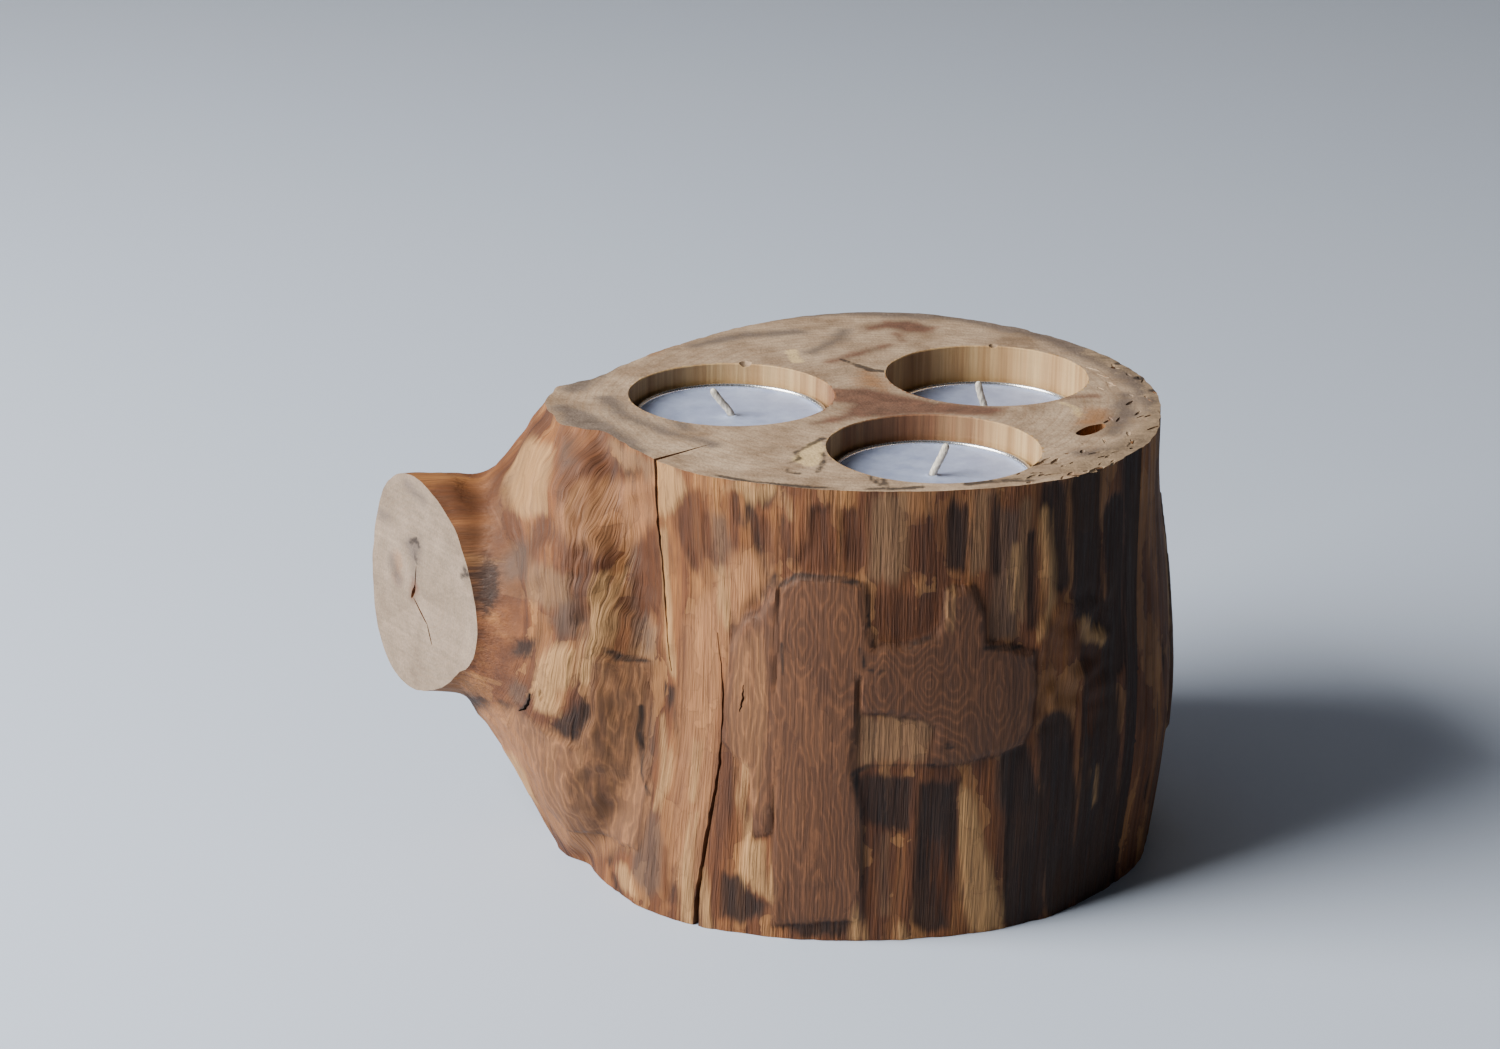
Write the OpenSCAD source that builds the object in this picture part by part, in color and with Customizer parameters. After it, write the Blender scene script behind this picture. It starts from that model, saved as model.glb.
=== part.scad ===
// Tealight holder: a short length of de-barked log, sawn flat at both ends,
// with a sawn-off branch on its left side and three wells bored into its top.
// A tealight (cup, wax, wick and wick tab) stands loose in each well.
// +Z is up, -Y is the front. The origin is on the table, in the middle of the trunk.

/* [Log] */
// Height of the log between its two saw cuts
trunk_h = 90; // [60:1:120]
// Wood left outside the ring of wells, on average
rim_wood = 8; // [7:0.5:30]

/* [Branch] */
// How far the middle of the branch's sawn face stands out from the trunk
branch_reach = 32; // [24:1:45]
// Height of the sawn face's middle above the table
branch_z = 53; // [38:0.5:66]
// Width of the branch behind its sawn face
branch_w = 33.5; // [24:0.5:40]
// Height of the branch behind its sawn face
branch_h = 46.5; // [28:0.5:52]
// How far the top of the branch leans to the front, and its underside to the back
branch_lean = 1.5; // [0:0.1:4]
// How far its top and its underside both bend to the back
branch_bow = 3.3; // [0:0.1:6]
// Direction that the branch grows in, anticlockwise from +X
branch_dir = 186; // [150:1:210]
// Angle between the branch and the square across its saw cut
cut_turn = 30; // [0:1:35]
// How much the collar adds above and below the branch where it leaves the trunk
collar_grow = 27.5; // [12:0.5:32]
// Share of that growth that the collar has sideways
collar_side = 0.7; // [0.3:0.05:1]
// How far the collar reaches along the branch
collar_reach = 15; // [8:0.5:18]

/* [Wells] */
// Gap all round between a tealight and its well
well_gap = 1; // [0.5:0.1:2]
// Wood between the two wells that stand closest
well_web = 7.7; // [4:0.1:14]
// Direction of the left well from the middle of the ring of wells
left_dir = 171; // [160:1:180]
// Direction of the front well
front_dir = 289; // [280:1:295]
// Direction of the rear well
rear_dir = 40; // [30:1:50]
// How far the left tealight's rim is sunk below the top of the log
left_sink = 3.8; // [1:0.1:10]
// How far the front tealight's rim is sunk
front_sink = 4.7; // [1:0.1:10]
// How far the rear tealight's rim is sunk
rear_sink = 7.2; // [1:0.1:10]

/* [Tealights] */
// Outer diameter of a tealight cup over its rolled rim
cup_d = 38; // [34:0.1:46]
// Height of a tealight cup
cup_h = 15; // [12:0.5:20]
// Thickness of the cup's aluminium
cup_wall = 0.3; // [0.2:0.05:0.5]
// Height and width of the rolled rim
cup_bead = 0.9; // [0.6:0.1:1.4]
// Radius between the cup's floor and its wall
cup_corner = 1.5; // [1:0.1:3]
// How far the wax stands below the cup's rim
wax_drop = 0.9; // [0.5:0.1:4]
// Thickness of a wick
wick_d = 1.6; // [1.2:0.1:2.4]
// Length of wick that stands out of the wax
wick_out = 7; // [4:0.5:9]
// Diameter of the tab that holds the wick on the cup's floor
tab_d = 12; // [9:0.5:18]
// Thickness of the tab's tinplate
tab_wall = 0.3; // [0.2:0.05:0.5]
// Height of the tab's neck, which grips the wick
tab_neck = 3.5; // [2:0.5:6]

/* [Hidden] */

around = 72;         // points round the trunk
branch_around = 40;  // points round the branch
rings = 12;          // bands up the trunk
branch_rings = 14;   // bands along the branch
over = 40;           // how far a cutting solid runs past what it cuts
wick_knuckle = 0.1;  // how much thicker a wick is where it bends
wick_root = wick_d / 2 + wick_knuckle;  // how far above the wax it bends

well_d = cup_d + 2 * well_gap;
// the ring of wells is as tight as the two closest wells and the web between them allow
closest_turn = min(front_dir - left_dir, rear_dir + 360 - front_dir, left_dir - rear_dir);
well_ring_r = (well_d + well_web) / 2 / sin(closest_turn / 2);
well_ring_x = 0.7;
well_ring_y = -2.4;
trunk_r = well_ring_r + well_d / 2 + rim_wood;

// A log isn't round: times round the trunk, how far in and out, direction of a crest
lobes = [[1, 1.5, 18], [2, 1.6, 70], [3, 1.6, 84], [5, 0.6, 19]];
// Swellings: direction, share of the height, how far out, spread in degrees, rise as a share
// of the height. A negative one is a hollow.
swellings = [
  [0, 0.34, 5, 40, 0.38],
  [210, 0, 4.5, 36, 0.5],
  [312, 0, -2.5, 30, 0.45],
  [262, 0.55, 1.2, 22, 0.3],
  [80, 0.4, 2, 35, 0.4],
  [130, 0.1, 3, 30, 0.35],
  [172, 0.9, 3, 16, 0.5]
];

function bell(x, width) = exp(-pow(x / width, 2));
function turn_between(a, b) = (a - b) % 360 > 180 ? (a - b) % 360 - 360
                            : (a - b) % 360 < -180 ? (a - b) % 360 + 360 : (a - b) % 360;
function add_up(list) = [for (v = list) 1] * list;
function rim_r(a) = trunk_r + add_up([for (l = lobes) l[1] * cos(l[0] * (a - l[2]))]);
function side_r(a, z) = rim_r(a) + add_up([for (s = swellings)
  s[2] * bell(turn_between(a, s[0]), s[3]) * bell(z / trunk_h - s[1], s[4])]);
function polar(r, a) = [r * cos(a), r * sin(a)];

// A skin over rings of points, closed by a fan at each end
module skin(loops) {
  n = len(loops[0]);
  last = len(loops) - 1;
  middle = [for (loop = [loops[0], loops[last]]) add_up(loop) / n];
  points = concat([for (loop = loops) each loop], middle);
  sides = [for (k = [0 : last - 1], i = [0 : n - 1]) let (j = (i + 1) % n)
    each [[k * n + i, (k + 1) * n + i, (k + 1) * n + j], [k * n + i, (k + 1) * n + j, k * n + j]]];
  ends = [for (i = [0 : n - 1]) let (j = (i + 1) % n)
    each [[i, j, len(points) - 2], [last * n + j, last * n + i, len(points) - 1]]];
  polyhedron(points = points, faces = concat(sides, ends));
}

module trunk() {
  skin([for (k = [0 : rings]) let (z = trunk_h * k / rings)
    [for (i = [0 : around - 1]) let (a = 360 * i / around)
      concat(polar(side_r(a, z), a), z)]]);
}

// The branch starts as a broad collar, which sweeps up to the log's top and down to its
// foot. Its middle rises by branch_sag over the first branch_rise outside the trunk.
branch_start = -trunk_r / 3;
branch_sag = 8.5;
branch_rise = 24;
branch_end = branch_reach + branch_w / 2;
function collar(d) = collar_grow * exp(-pow(max(d, 0) / collar_reach, 2.5));
function grown(d) = min(max(d / branch_rise, 0), 1);
function branch_aside(d, a) = grown(d) * (branch_lean * sin(a) - branch_bow * pow(sin(a), 2));
function branch_mid(d) = branch_z - branch_sag * (1 - pow(grown(d), 3));

module branch() {
  rotate([0, 0, branch_dir])
    skin([for (k = [0 : branch_rings])
      let (d = branch_start + (branch_end - branch_start) * k / branch_rings)
      [for (i = [0 : branch_around - 1]) let (a = 360 * i / branch_around)
        [trunk_r + d, (branch_w / 2 + collar_side * collar(d)) * cos(a) + branch_aside(d, a),
         branch_mid(d) + (branch_h / 2 + collar(d)) * sin(a)]]]);
}

// Everything beyond the saw cut at the end of the branch
module branch_cut() {
  size = branch_h + 2 * over;
  translate(concat(polar(trunk_r + branch_reach, branch_dir), branch_z))
    rotate([0, 0, branch_dir + cut_turn])
      translate([0, -size / 2, -size / 2])
        cube(size);
}

// A well is flat-bottomed and as deep as its tealight and the sink
function well_at(dir) = [well_ring_x, well_ring_y] + polar(well_ring_r, dir);
module well(dir, sink) {
  translate(concat(well_at(dir), trunk_h - sink - cup_h))
    cylinder(h = sink + cup_h + over, d = well_d, $fn = 96);
}

module log() {
  width = 4 * (trunk_r + branch_reach);
  color("burlywood")
    difference() {
      intersection() {
        union() {
          trunk();
          branch();
        }
        translate([-width / 2, -width / 2, 0])
          cube([width, width, trunk_h]);
      }
      branch_cut();
      well(left_dir, left_sink);
      well(front_dir, front_sink);
      well(rear_dir, rear_sink);
    }
}

// One tealight stands on its well's floor, and each piece is drawn in the cup's own frame
module in_well(dir, sink) {
  translate(concat(well_at(dir), trunk_h - sink - cup_h))
    children();
}

// Outer radius of the cup's wall, inside its rolled rim
cup_r = cup_d / 2 - cup_bead + cup_wall;
wax_top = cup_h - wax_drop;
corner_steps = 5;
bead_steps = 9;
function arc(x, z, r, from, to, steps) = [for (i = [0 : steps])
  let (a = from + (to - from) * i / steps) [x + r * cos(a), z + r * sin(a)]];
// The round between floor and wall, outside (inset 0) or inside (inset cup_wall)
function corner(inset) = arc(cup_r - cup_corner, cup_corner, cup_corner - inset, -90, 0, corner_steps);
function reversed(list) = [for (i = [len(list) - 1 : -1 : 0]) list[i]];

module cup() {
  color("silver")
    rotate_extrude($fn = 96)
      polygon(concat(
        [[0, 0]], corner(0), [[cup_r, cup_h - cup_bead]],
        arc(cup_d / 2 - cup_bead / 2, cup_h - cup_bead / 2, cup_bead / 2, -90, 180, bead_steps),
        reversed(corner(cup_wall)), [[0, cup_wall]]));
}

module wax() {
  color("white")
    difference() {
      rotate_extrude($fn = 96)
        polygon(concat(
          [[0, cup_wall]], corner(cup_wall),
          [[cup_r - cup_wall, wax_top], [0, wax_top]]));
      tab_body();
      cylinder(h = cup_h + over, d = wick_d, $fn = 32);
    }
}

// The wick stands straight in the wax, bends just above it and leans the way it was set
module wick(lean, lean_dir) {
  bend_z = wax_top + wick_root;
  color("ivory") {
    translate([0, 0, cup_wall])
      cylinder(h = bend_z - cup_wall, d = wick_d, $fn = 32);
    translate([0, 0, bend_z]) {
      sphere(d = wick_d + wick_knuckle, $fn = 32);
      rotate([0, lean, lean_dir])
        cylinder(h = wick_out - wick_root, d = wick_d, $fn = 32);
    }
  }
}

module tab_body() {
  translate([0, 0, cup_wall]) {
    cylinder(h = tab_wall, d = tab_d, $fn = 48);
    cylinder(h = tab_wall + tab_neck, d = wick_d + 2 * tab_wall, $fn = 32);
  }
}

module wick_tab() {
  color("lightgrey")
    difference() {
      tab_body();
      cylinder(h = cup_h, d = wick_d, $fn = 32);
    }
}

log();

in_well(left_dir, left_sink) cup();  // left_cup
in_well(left_dir, left_sink) wax();  // left_wax
in_well(left_dir, left_sink) wick(35, 180);  // left_wick
in_well(left_dir, left_sink) wick_tab();  // left_wick_tab

in_well(front_dir, front_sink) cup();  // front_cup
in_well(front_dir, front_sink) wax();  // front_wax
in_well(front_dir, front_sink) wick(20, 0);  // front_wick
in_well(front_dir, front_sink) wick_tab();  // front_wick_tab

in_well(rear_dir, rear_sink) cup();  // rear_cup
in_well(rear_dir, rear_sink) wax();  // rear_wax
in_well(rear_dir, rear_sink) wick(13, 180);  // rear_wick
in_well(rear_dir, rear_sink) wick_tab();  // rear_wick_tab
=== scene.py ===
import math
import random

import bmesh
import bpy
import numpy as np
from mathutils import Euler, Matrix, Vector, noise
from mathutils.bvhtree import BVHTree


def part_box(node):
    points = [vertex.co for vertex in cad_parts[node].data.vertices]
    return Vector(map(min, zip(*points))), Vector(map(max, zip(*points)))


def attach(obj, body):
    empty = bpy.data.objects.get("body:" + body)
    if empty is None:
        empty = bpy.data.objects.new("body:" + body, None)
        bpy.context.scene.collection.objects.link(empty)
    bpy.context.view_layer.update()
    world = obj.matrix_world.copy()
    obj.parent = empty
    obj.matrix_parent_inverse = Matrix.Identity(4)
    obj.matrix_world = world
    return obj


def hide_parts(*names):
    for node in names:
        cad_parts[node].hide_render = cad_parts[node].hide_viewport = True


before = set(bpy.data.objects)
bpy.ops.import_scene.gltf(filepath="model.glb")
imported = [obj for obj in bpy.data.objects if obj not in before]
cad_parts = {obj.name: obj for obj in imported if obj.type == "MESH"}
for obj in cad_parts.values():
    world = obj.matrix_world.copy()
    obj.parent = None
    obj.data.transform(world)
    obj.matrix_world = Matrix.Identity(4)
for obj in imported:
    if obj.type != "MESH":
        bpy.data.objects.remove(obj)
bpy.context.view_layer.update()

mm = 0.001
scene = bpy.context.scene


def linear(hexColour):
    # sRGB hex to the linear RGBA that Blender's sockets take
    parts = [int(hexColour[i:i + 2], 16) / 255 for i in (1, 3, 5)]
    return [c / 12.92 if c <= 0.04045 else ((c + 0.055) / 1.055) ** 2.4 for c in parts] + [1]


def add(tree, kind, inputs=None, stops=None, **settings):
    # one node: its settings, the stops of a ramp, and its inputs as values, hex colours or sockets to link
    node = tree.nodes.new("ShaderNode" + kind)
    for name, value in settings.items():
        setattr(node, name, value)
    if stops:
        ramp = node.color_ramp.elements
        while len(ramp) < len(stops):
            ramp.new(0.5)
        for element, (position, hexColour) in zip(ramp, stops):
            element.position = position
            element.color = linear(hexColour)
    for key, value in (inputs or {}).items():
        if isinstance(value, bpy.types.NodeSocket):
            tree.links.new(value, node.inputs[key])
        else:
            node.inputs[key].default_value = linear(value) if isinstance(value, str) else value
    return node


def place(name, mesh):
    obj = bpy.data.objects.new(name, mesh)
    scene.collection.objects.link(obj)
    return obj


def toMesh(work, name):
    mesh = bpy.data.meshes.new(name)
    work.to_mesh(mesh)
    work.free()
    return mesh


def bakeModifiers(obj):
    # the object keeps the shape that its modifiers give, and loses the modifiers
    depsgraph = bpy.context.evaluated_depsgraph_get()
    mesh = bpy.data.meshes.new_from_object(obj.evaluated_get(depsgraph))
    obj.modifiers.clear()
    obj.data = mesh


def vertexTable(mesh, what="co"):
    # all the vertices' places, or their normals
    table = np.zeros(len(mesh.vertices) * 3, np.float32)
    source = mesh.vertices if what == "co" else mesh.vertex_normals
    source.foreach_get("co" if what == "co" else "vector", table)
    return table.reshape(-1, 3).astype(float)


def smoothStep(low, high, value):
    t = np.clip((value - low) / (high - low), 0, 1)
    return t * t * (3 - 2 * t)


def noiseAt(points):
    return np.array([noise.noise(p) for p in points.tolist()])


# Every mark on the bark side is drawn round the trunk: the first number is the direction in degrees,
# which is close to a millimetre there, and the second is the height in millimetres.
# A mark of pairs is a closed outline. A mark of triples is a stroke, and the third number is half its width.

sideMarks = {
    "facet": [      # smooth inner bark that the drawknife left standing, with the rings showing
        [(204, 37), (210, 34), (215, 32), (218, 39), (217.5, 52), (223.5, 50.5), (223.5, 42),
         (222.5, 33), (225, 25), (224, 20), (222, 12), (214, 11), (207, 10), (203, 14), (206, 22),
         (205, 28), (202, 31)],
        [(240.5, 39), (241.5, 58), (244, 64), (247, 65), (250.5, 71), (251, 40), (250, 22), (247, 21),
         (246, 34)],
        [(250.8, 3), (250.5, 40), (250.8, 66), (251, 71), (254, 73), (262, 73), (266.5, 72), (267, 66),
         (268.5, 61), (268.5, 55), (266, 54), (265.5, 35), (267, 28), (267.5, 5)],
        [(267, 60), (275, 60.3), (280, 62), (282, 64.5), (282.5, 71), (287.5, 71), (289.5, 66),
         (290, 60), (296, 58.5), (300, 57), (301, 50), (300, 42), (299, 38.5), (294, 37.5), (286, 36.5),
         (280, 36.5), (281, 44), (279, 46), (266.5, 47.5)],
    ],
    "fair": [      # paler tan, where the wood dried clean; the first outline, over the facet left of the branch, is a painted pool of light
        [(188, 28), (196, 33), (204, 36), (210, 35), (215, 33), (218, 40), (217.5, 52), (223.5, 50.5),
         (223.5, 42), (222.5, 33), (225, 25), (224, 20), (222, 12), (214, 8), (207, 4), (199, 4),
         (193, 10), (188, 18)],
        [(231, 60), (237, 68), (242, 76), (247, 76), (248, 70), (241, 62), (239, 42), (238, 22),
         (236, 8), (231, 8), (230, 30)],
        [(242.5, 60), (248, 62), (249, 44), (248, 26), (243.5, 28), (242, 44)],
        [(206, 82), (215, 84), (222, 86), (222, 78), (214, 70), (206, 74)],
    ],
    "ash": [      # greyish fibrous sapwood
        [(266, 47), (279, 46), (281, 44), (279, 37), (270, 36.8), (266, 36)],
        [(267, 73), (267.5, 89.5), (275, 89.5), (275, 76), (273, 72)],
        [(287, 74), (287, 89.5), (291, 89.5), (290.5, 74)],
        [(222, 57), (225, 58), (224.5, 50.5), (221, 50.5)],
        [(205, 60), (205, 67), (212, 66), (214, 61), (210, 59)],
        [(205, 88), (212, 84), (221, 84), (222, 89), (205, 89.7)], [(271.5, 22, 0.8), (272, 6, 1.0)],
        [(297.5, 86, 1.2), (297.5, 64, 0.8)],
    ],
    "grey": [      # grey-purple, where the wood weathered
        [(214.5, 76, 0.8), (218, 68, 1.4), (221, 60, 1.8), (223, 54, 1.2)],
        [(211, 61), (214, 62), (215, 55), (212.5, 54), (210, 57)],
        [(222.5, 21), (226, 22), (228, 15), (228, 6), (225, 3), (220, 6), (221, 14)],
        [(223.2, 42, 0.9), (224.2, 33, 1.2), (223, 27, 0.6)],
        [(236.5, 83), (239.5, 82), (241, 77), (240, 71), (237.5, 72)],
        [(199, 88), (204, 85), (203, 83), (199.5, 86)],
        [(200, 69), (204, 70), (205, 63), (201, 61), (199, 64)],
        [(202, 40), (204, 43), (207, 42), (206, 38), (203, 37)],
        [(292, 86), (296.5, 85), (297, 60), (291, 60), (291, 80)],
        [(294, 38), (299, 38), (300, 26), (297, 22), (294, 28)],
    ],
    "dark": [
        [(211, 36), (213.5, 40), (216, 43.5), (218, 42), (217.5, 37), (215, 32.3), (210, 33.5)],
        # beside the right edge of the branch's sawn face: a dark stain, deepened with painted shade under
        # the face's rim
        [(197, 66), (200, 63), (201, 58), (199.5, 54), (197.5, 60)],
        [(203, 47), (207.5, 48.5), (208.5, 52.5), (204, 51)],
        [(199, 36), (203, 36.5), (203, 32), (200, 31)],
        [(207, 80, 0.8), (210.5, 76, 1.0), (213, 70, 0.8)],
        [(211, 84), (214, 85.5), (219, 83), (221, 79), (217, 81), (212, 81.5)],
        [(216, 80, 1.2), (219, 71, 2.0), (221, 61, 1.4)], [(224, 72, 0.6), (225.2, 63, 0.8)],
        [(213, 66, 0.8), (215, 58, 1.2)], [(230, 83, 0.6), (230.6, 77, 0.9), (233, 72, 0.7)],
        [(235.6, 82, 0.5), (236, 75, 0.6)], [(245.5, 83, 0.7), (247, 76, 1.1), (248.6, 71, 0.6)],
        [(251, 84, 0.4), (252.5, 76, 0.6)], [(197, 6, 0.8), (200, 17, 1.2), (203, 25, 0.8)],
        [(184, 27, 2.0), (190, 30.5, 1.8), (195, 33.5, 1.5)],
        [(212, 5, 0.8), (214, 9, 0.9), (219, 10.5, 0.8)], [(214, 2.5, 0.8), (216, 0.5, 0.9)],
        [(213.4, 71, 0.25), (214.7, 64, 0.4), (215.6, 55, 0.3)],
        [(241.2, 66, 0.8), (241.8, 61, 0.7), (242.3, 58, 0.3)],
        [(244.5, 66, 0.9), (247.5, 69, 1.3), (249.5, 72.5, 0.8)], [(241.5, 87, 0.5), (242.6, 82, 0.5)],
        [(244.3, 88, 0.6), (244.8, 83, 0.5)], [(248.4, 88.4, 1.1), (247.5, 86, 0.5)],
        [(256, 80), (256, 86.5), (259.8, 86.8), (259.5, 81), (257.5, 77), (254, 75.5)],
        [(263, 77), (262.6, 86), (264.8, 86), (266.2, 80), (266, 76.5)],
        [(282, 75), (282, 86), (283.8, 88.7), (286, 86), (287, 80), (286.3, 74)],
        [(299, 80, 0.9), (299.6, 62, 0.8)], [(301.8, 89, 0.9), (301, 84, 0.6)],
        [(265.7, 34.3), (270, 35), (277, 34), (277, 23), (271, 23), (268, 25)],
        [(240.5, 12), (244, 12), (247, 8.5), (249.5, 7), (248.5, 4), (244, 2), (240.5, 3)],
        [(226.8, 47), (229.6, 47), (229.5, 43.5), (228, 42)], [(230.4, 4, 0.8), (231.2, 11, 0.7)],
        [(230.8, 38, 0.3), (231.4, 33, 0.3)], [(229.2, 44, 0.3), (230.2, 38, 0.3)],
        [(252, 3), (253, 12), (262, 12.5), (266, 11), (265, 1), (256, 0.5)],
        [(278, 33), (286, 33), (286.5, 21), (285, 2), (281, 1), (278, 4)],
        # the broad strokes between 297 and 343 degrees darken the side turned away from the window:
        # dark-stained wood, made darker with painted shade
        [(313.8, 34, 0.6), (315, 27, 1.0), (316.2, 20, 0.6)], [(303.5, 88, 2.5), (306, 70, 2.0)],
        [(320, 80, 4), (322, 50, 3)], [(297.5, 36, 3), (301, 20, 5), (302, 3, 5)],
        [(306, 40, 4), (311, 4, 5)], [(316, 60, 4), (321, 5, 7)], [(311, 88, 4), (313, 64, 4)],
        [(329, 88, 6), (331, 40, 6), (333, 3, 6)], [(341, 80, 4), (343, 10, 5)],
        [(291, 88, 0.6), (292, 74, 0.8)],
    ],
    "orange": [      # orange-brown, where the inner bark stained the wood
        [(229, 84), (231.5, 86.5), (235, 86.5), (236.5, 80), (236, 74), (235, 70), (233.5, 72),
         (231, 77), (229.5, 80)],
        [(211, 80.5), (217, 80.5), (224, 76), (225.3, 70), (226.3, 62), (223.5, 58), (221.5, 62),
         (218.5, 70), (215, 76)],
        [(195, 70.5), (198, 71), (199, 67), (198, 65), (195.5, 68)],
        [(201, 72), (203, 76), (208, 75), (209, 72), (206, 70), (205, 66.5), (203, 68)],
        [(253, 74), (255, 80), (256, 86.5), (260, 86.5), (261.2, 80), (262, 74)],
        [(262, 74), (262.4, 86), (265, 86.5), (267.2, 80), (267, 74)],
        [(275.5, 72.5), (275.2, 85.5), (281.3, 85.5), (281.6, 73)],
        [(268, 70.5), (281.5, 70), (281.5, 65), (279, 62), (275, 60.3), (269.5, 60.5), (269, 66)],
        [(273.3, 35.6, 0.9), (276, 35.6, 0.7)], [(282, 20, 0.8), (284, 10, 1.3), (284.5, 5, 1.0)],
        [(227, 42, 0.8), (226.4, 35, 0.5)], [(231.8, 42, 0.7), (232.5, 34, 0.6)],
        [(228.8, 14, 0.6), (229.2, 4, 0.8)], [(185, 78, 0.7), (190, 79, 0.6), (193.5, 76.3, 0.6)],
        [(212, 30, 1.2), (214, 30.5, 1.0)], [(210, 81.5, 0.5), (214, 76, 0.6), (217, 71, 0.5)],
        [(300.6, 47, 1.2), (301.4, 44, 1.0)], [(314.5, 56, 1.4), (316, 44, 1.5), (315, 38, 0.9)],
        [(244, 66.5), (246.5, 67.5), (248.5, 64), (245, 62.5), (242.5, 64)],
        [(217.5, 84, 2.4), (220, 74, 3.8), (222, 62, 2.8)],
        [(213, 72, 1.4), (216, 61, 2.2), (218.5, 54, 1.0)],
        [(186, 86, 1.6), (188, 78, 2.0), (192, 72, 1.4)], [(197, 84, 0.8), (200, 77, 0.9)],
        [(230, 85, 1.4), (232, 78, 2.2), (233.5, 72, 1.2)], [(247.5, 82, 1.4), (249, 75, 1.2)],
    ],
    "pale": [      # bare cream sapwood
        [(223.3, 89.9), (229, 89.9), (231.3, 86.5), (229, 83), (226.3, 80.5), (224.1, 80)],
        [(240, 88), (241, 89.9), (250, 89.9), (249, 88.6), (246, 86), (243, 88)],
        [(190, 86), (198, 85), (202, 80), (203, 75), (199, 73), (195, 73.5), (191, 76), (188, 80)],
        [(208, 38), (207.6, 42), (208.5, 46), (210.5, 51), (213, 53.5), (215, 52), (215, 45.5),
         (213, 43.5), (212.6, 38.5)],
        [(215.9, 66, 0.9), (217.3, 58, 1.2), (216.3, 47, 0.9)],
        [(215, 5), (216.5, 7.5), (219.5, 6), (221.5, 2), (216.5, 1.5)],
        [(187, 19), (197, 22), (197, 12), (188, 8)],
        [(225, 76, 0.7), (226.2, 66, 0.7), (227.6, 56, 0.9), (228.6, 50, 0.6)],
        [(239, 72, 0.9), (239.6, 66, 1.0), (240.4, 62, 0.4)],
        [(226.2, 40, 0.5), (227.6, 33, 1.1), (227.4, 27, 1.0), (225.8, 21.5, 0.5)],
        [(234.6, 37, 0.4), (234.2, 26, 0.5)], [(235.1, 23, 0.4), (233.8, 12, 1.2), (233.8, 1, 1.4)],
        [(236.6, 12, 0.5), (237.2, 6, 1.1), (237.8, 0, 1.3)],
        [(244.8, 34.5, 0.6), (244.1, 28, 0.7), (245.6, 20, 0.5)],
        [(245, 19.5), (248.5, 19.5), (250, 12), (250, 8), (246.5, 9), (244.5, 13)],
        [(250.8, 89.2, 0.5), (251.4, 87, 0.6), (252.3, 84, 0.3)],
        [(265, 0), (265.5, 5), (266.5, 9), (268, 4), (269, 0)], [(275.4, 3, 0.6), (276, 0, 1.1)],
        [(286.8, 31), (288.8, 30.5), (291, 22), (294, 12), (297, 4), (297, 0), (290, 0), (288, 10),
         (287, 20)],
        [(301.5, 84, 0.9), (302.5, 74, 1.1), (303.5, 66, 0.7), (301.6, 60, 0.4)],
        [(282.9, 70.8, 0.4), (282.9, 63.5, 0.4)], [(312, 60, 1.5), (314, 57, 1.8), (317, 56, 1.2)],
        [(317, 29, 0.5), (318, 22, 0.8)], [(296, 78, 0.5), (296, 66, 0.7)],
    ],
    "black": [      # seams, with painted shade in the undercuts and along the edges of the facets
        [(204.6, 36.6, 0.2), (206.2, 38.2, 0.4), (207.1, 40.8, 0.3)],
        [(218.2, 53, 0.15), (220, 51.2, 0.35), (223.3, 50.7, 0.2)],
        [(222.5, 41.5, 0.3), (222.2, 36, 0.35), (222.8, 28, 0.2), (224.6, 24, 0.2)],
        [(266.3, 60, 0.2), (267.2, 56.5, 0.3), (269.4, 55.3, 0.3), (271, 55.8, 0.1)],
        [(265.6, 35, 0.5), (268, 36.3, 0.3), (273, 36.4, 0.15), (278, 36.2, 0.25), (281, 36.6, 0.1)],
        [(290, 59.2, 0.4), (297.5, 58.4, 0.35)],
        [(250.8, 71, 0.2), (254, 73.2, 0.3), (262, 73.1, 0.2), (266.4, 72.2, 0.3)],
        [(267.4, 70, 0.3), (267.8, 64, 0.2)], [(265.9, 34, 0.4), (266.8, 28, 0.3), (267.3, 24, 0.15)],
        [(251.6, 60, 0.2), (252.2, 54, 0.2)], [(283, 40.4, 0.5), (284.2, 39.8, 0.4)],
        [(275.4, 60.3, 0.2), (279.5, 62, 0.25)],
    ],
}

# The growth rings on the facets close in long eyes: direction, height, half the width and the height
# of one ring
ringEyes = [
    (255.5, 30, 1.0, 6), (255.5, 62, 1.1, 4), (263, 64, 1.0, 4), (259, 8, 1.0, 5),
    (284.5, 53, 0.9, 1.8), (279.5, 53, 0.8, 1.6), (271, 52, 1.1, 2.2), (293, 50, 1.2, 4),
    (284.8, 69, 1.0, 3), (212, 22, 1.5, 7), (219.5, 42, 1.2, 8), (245, 45, 1.2, 8),
]

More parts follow.
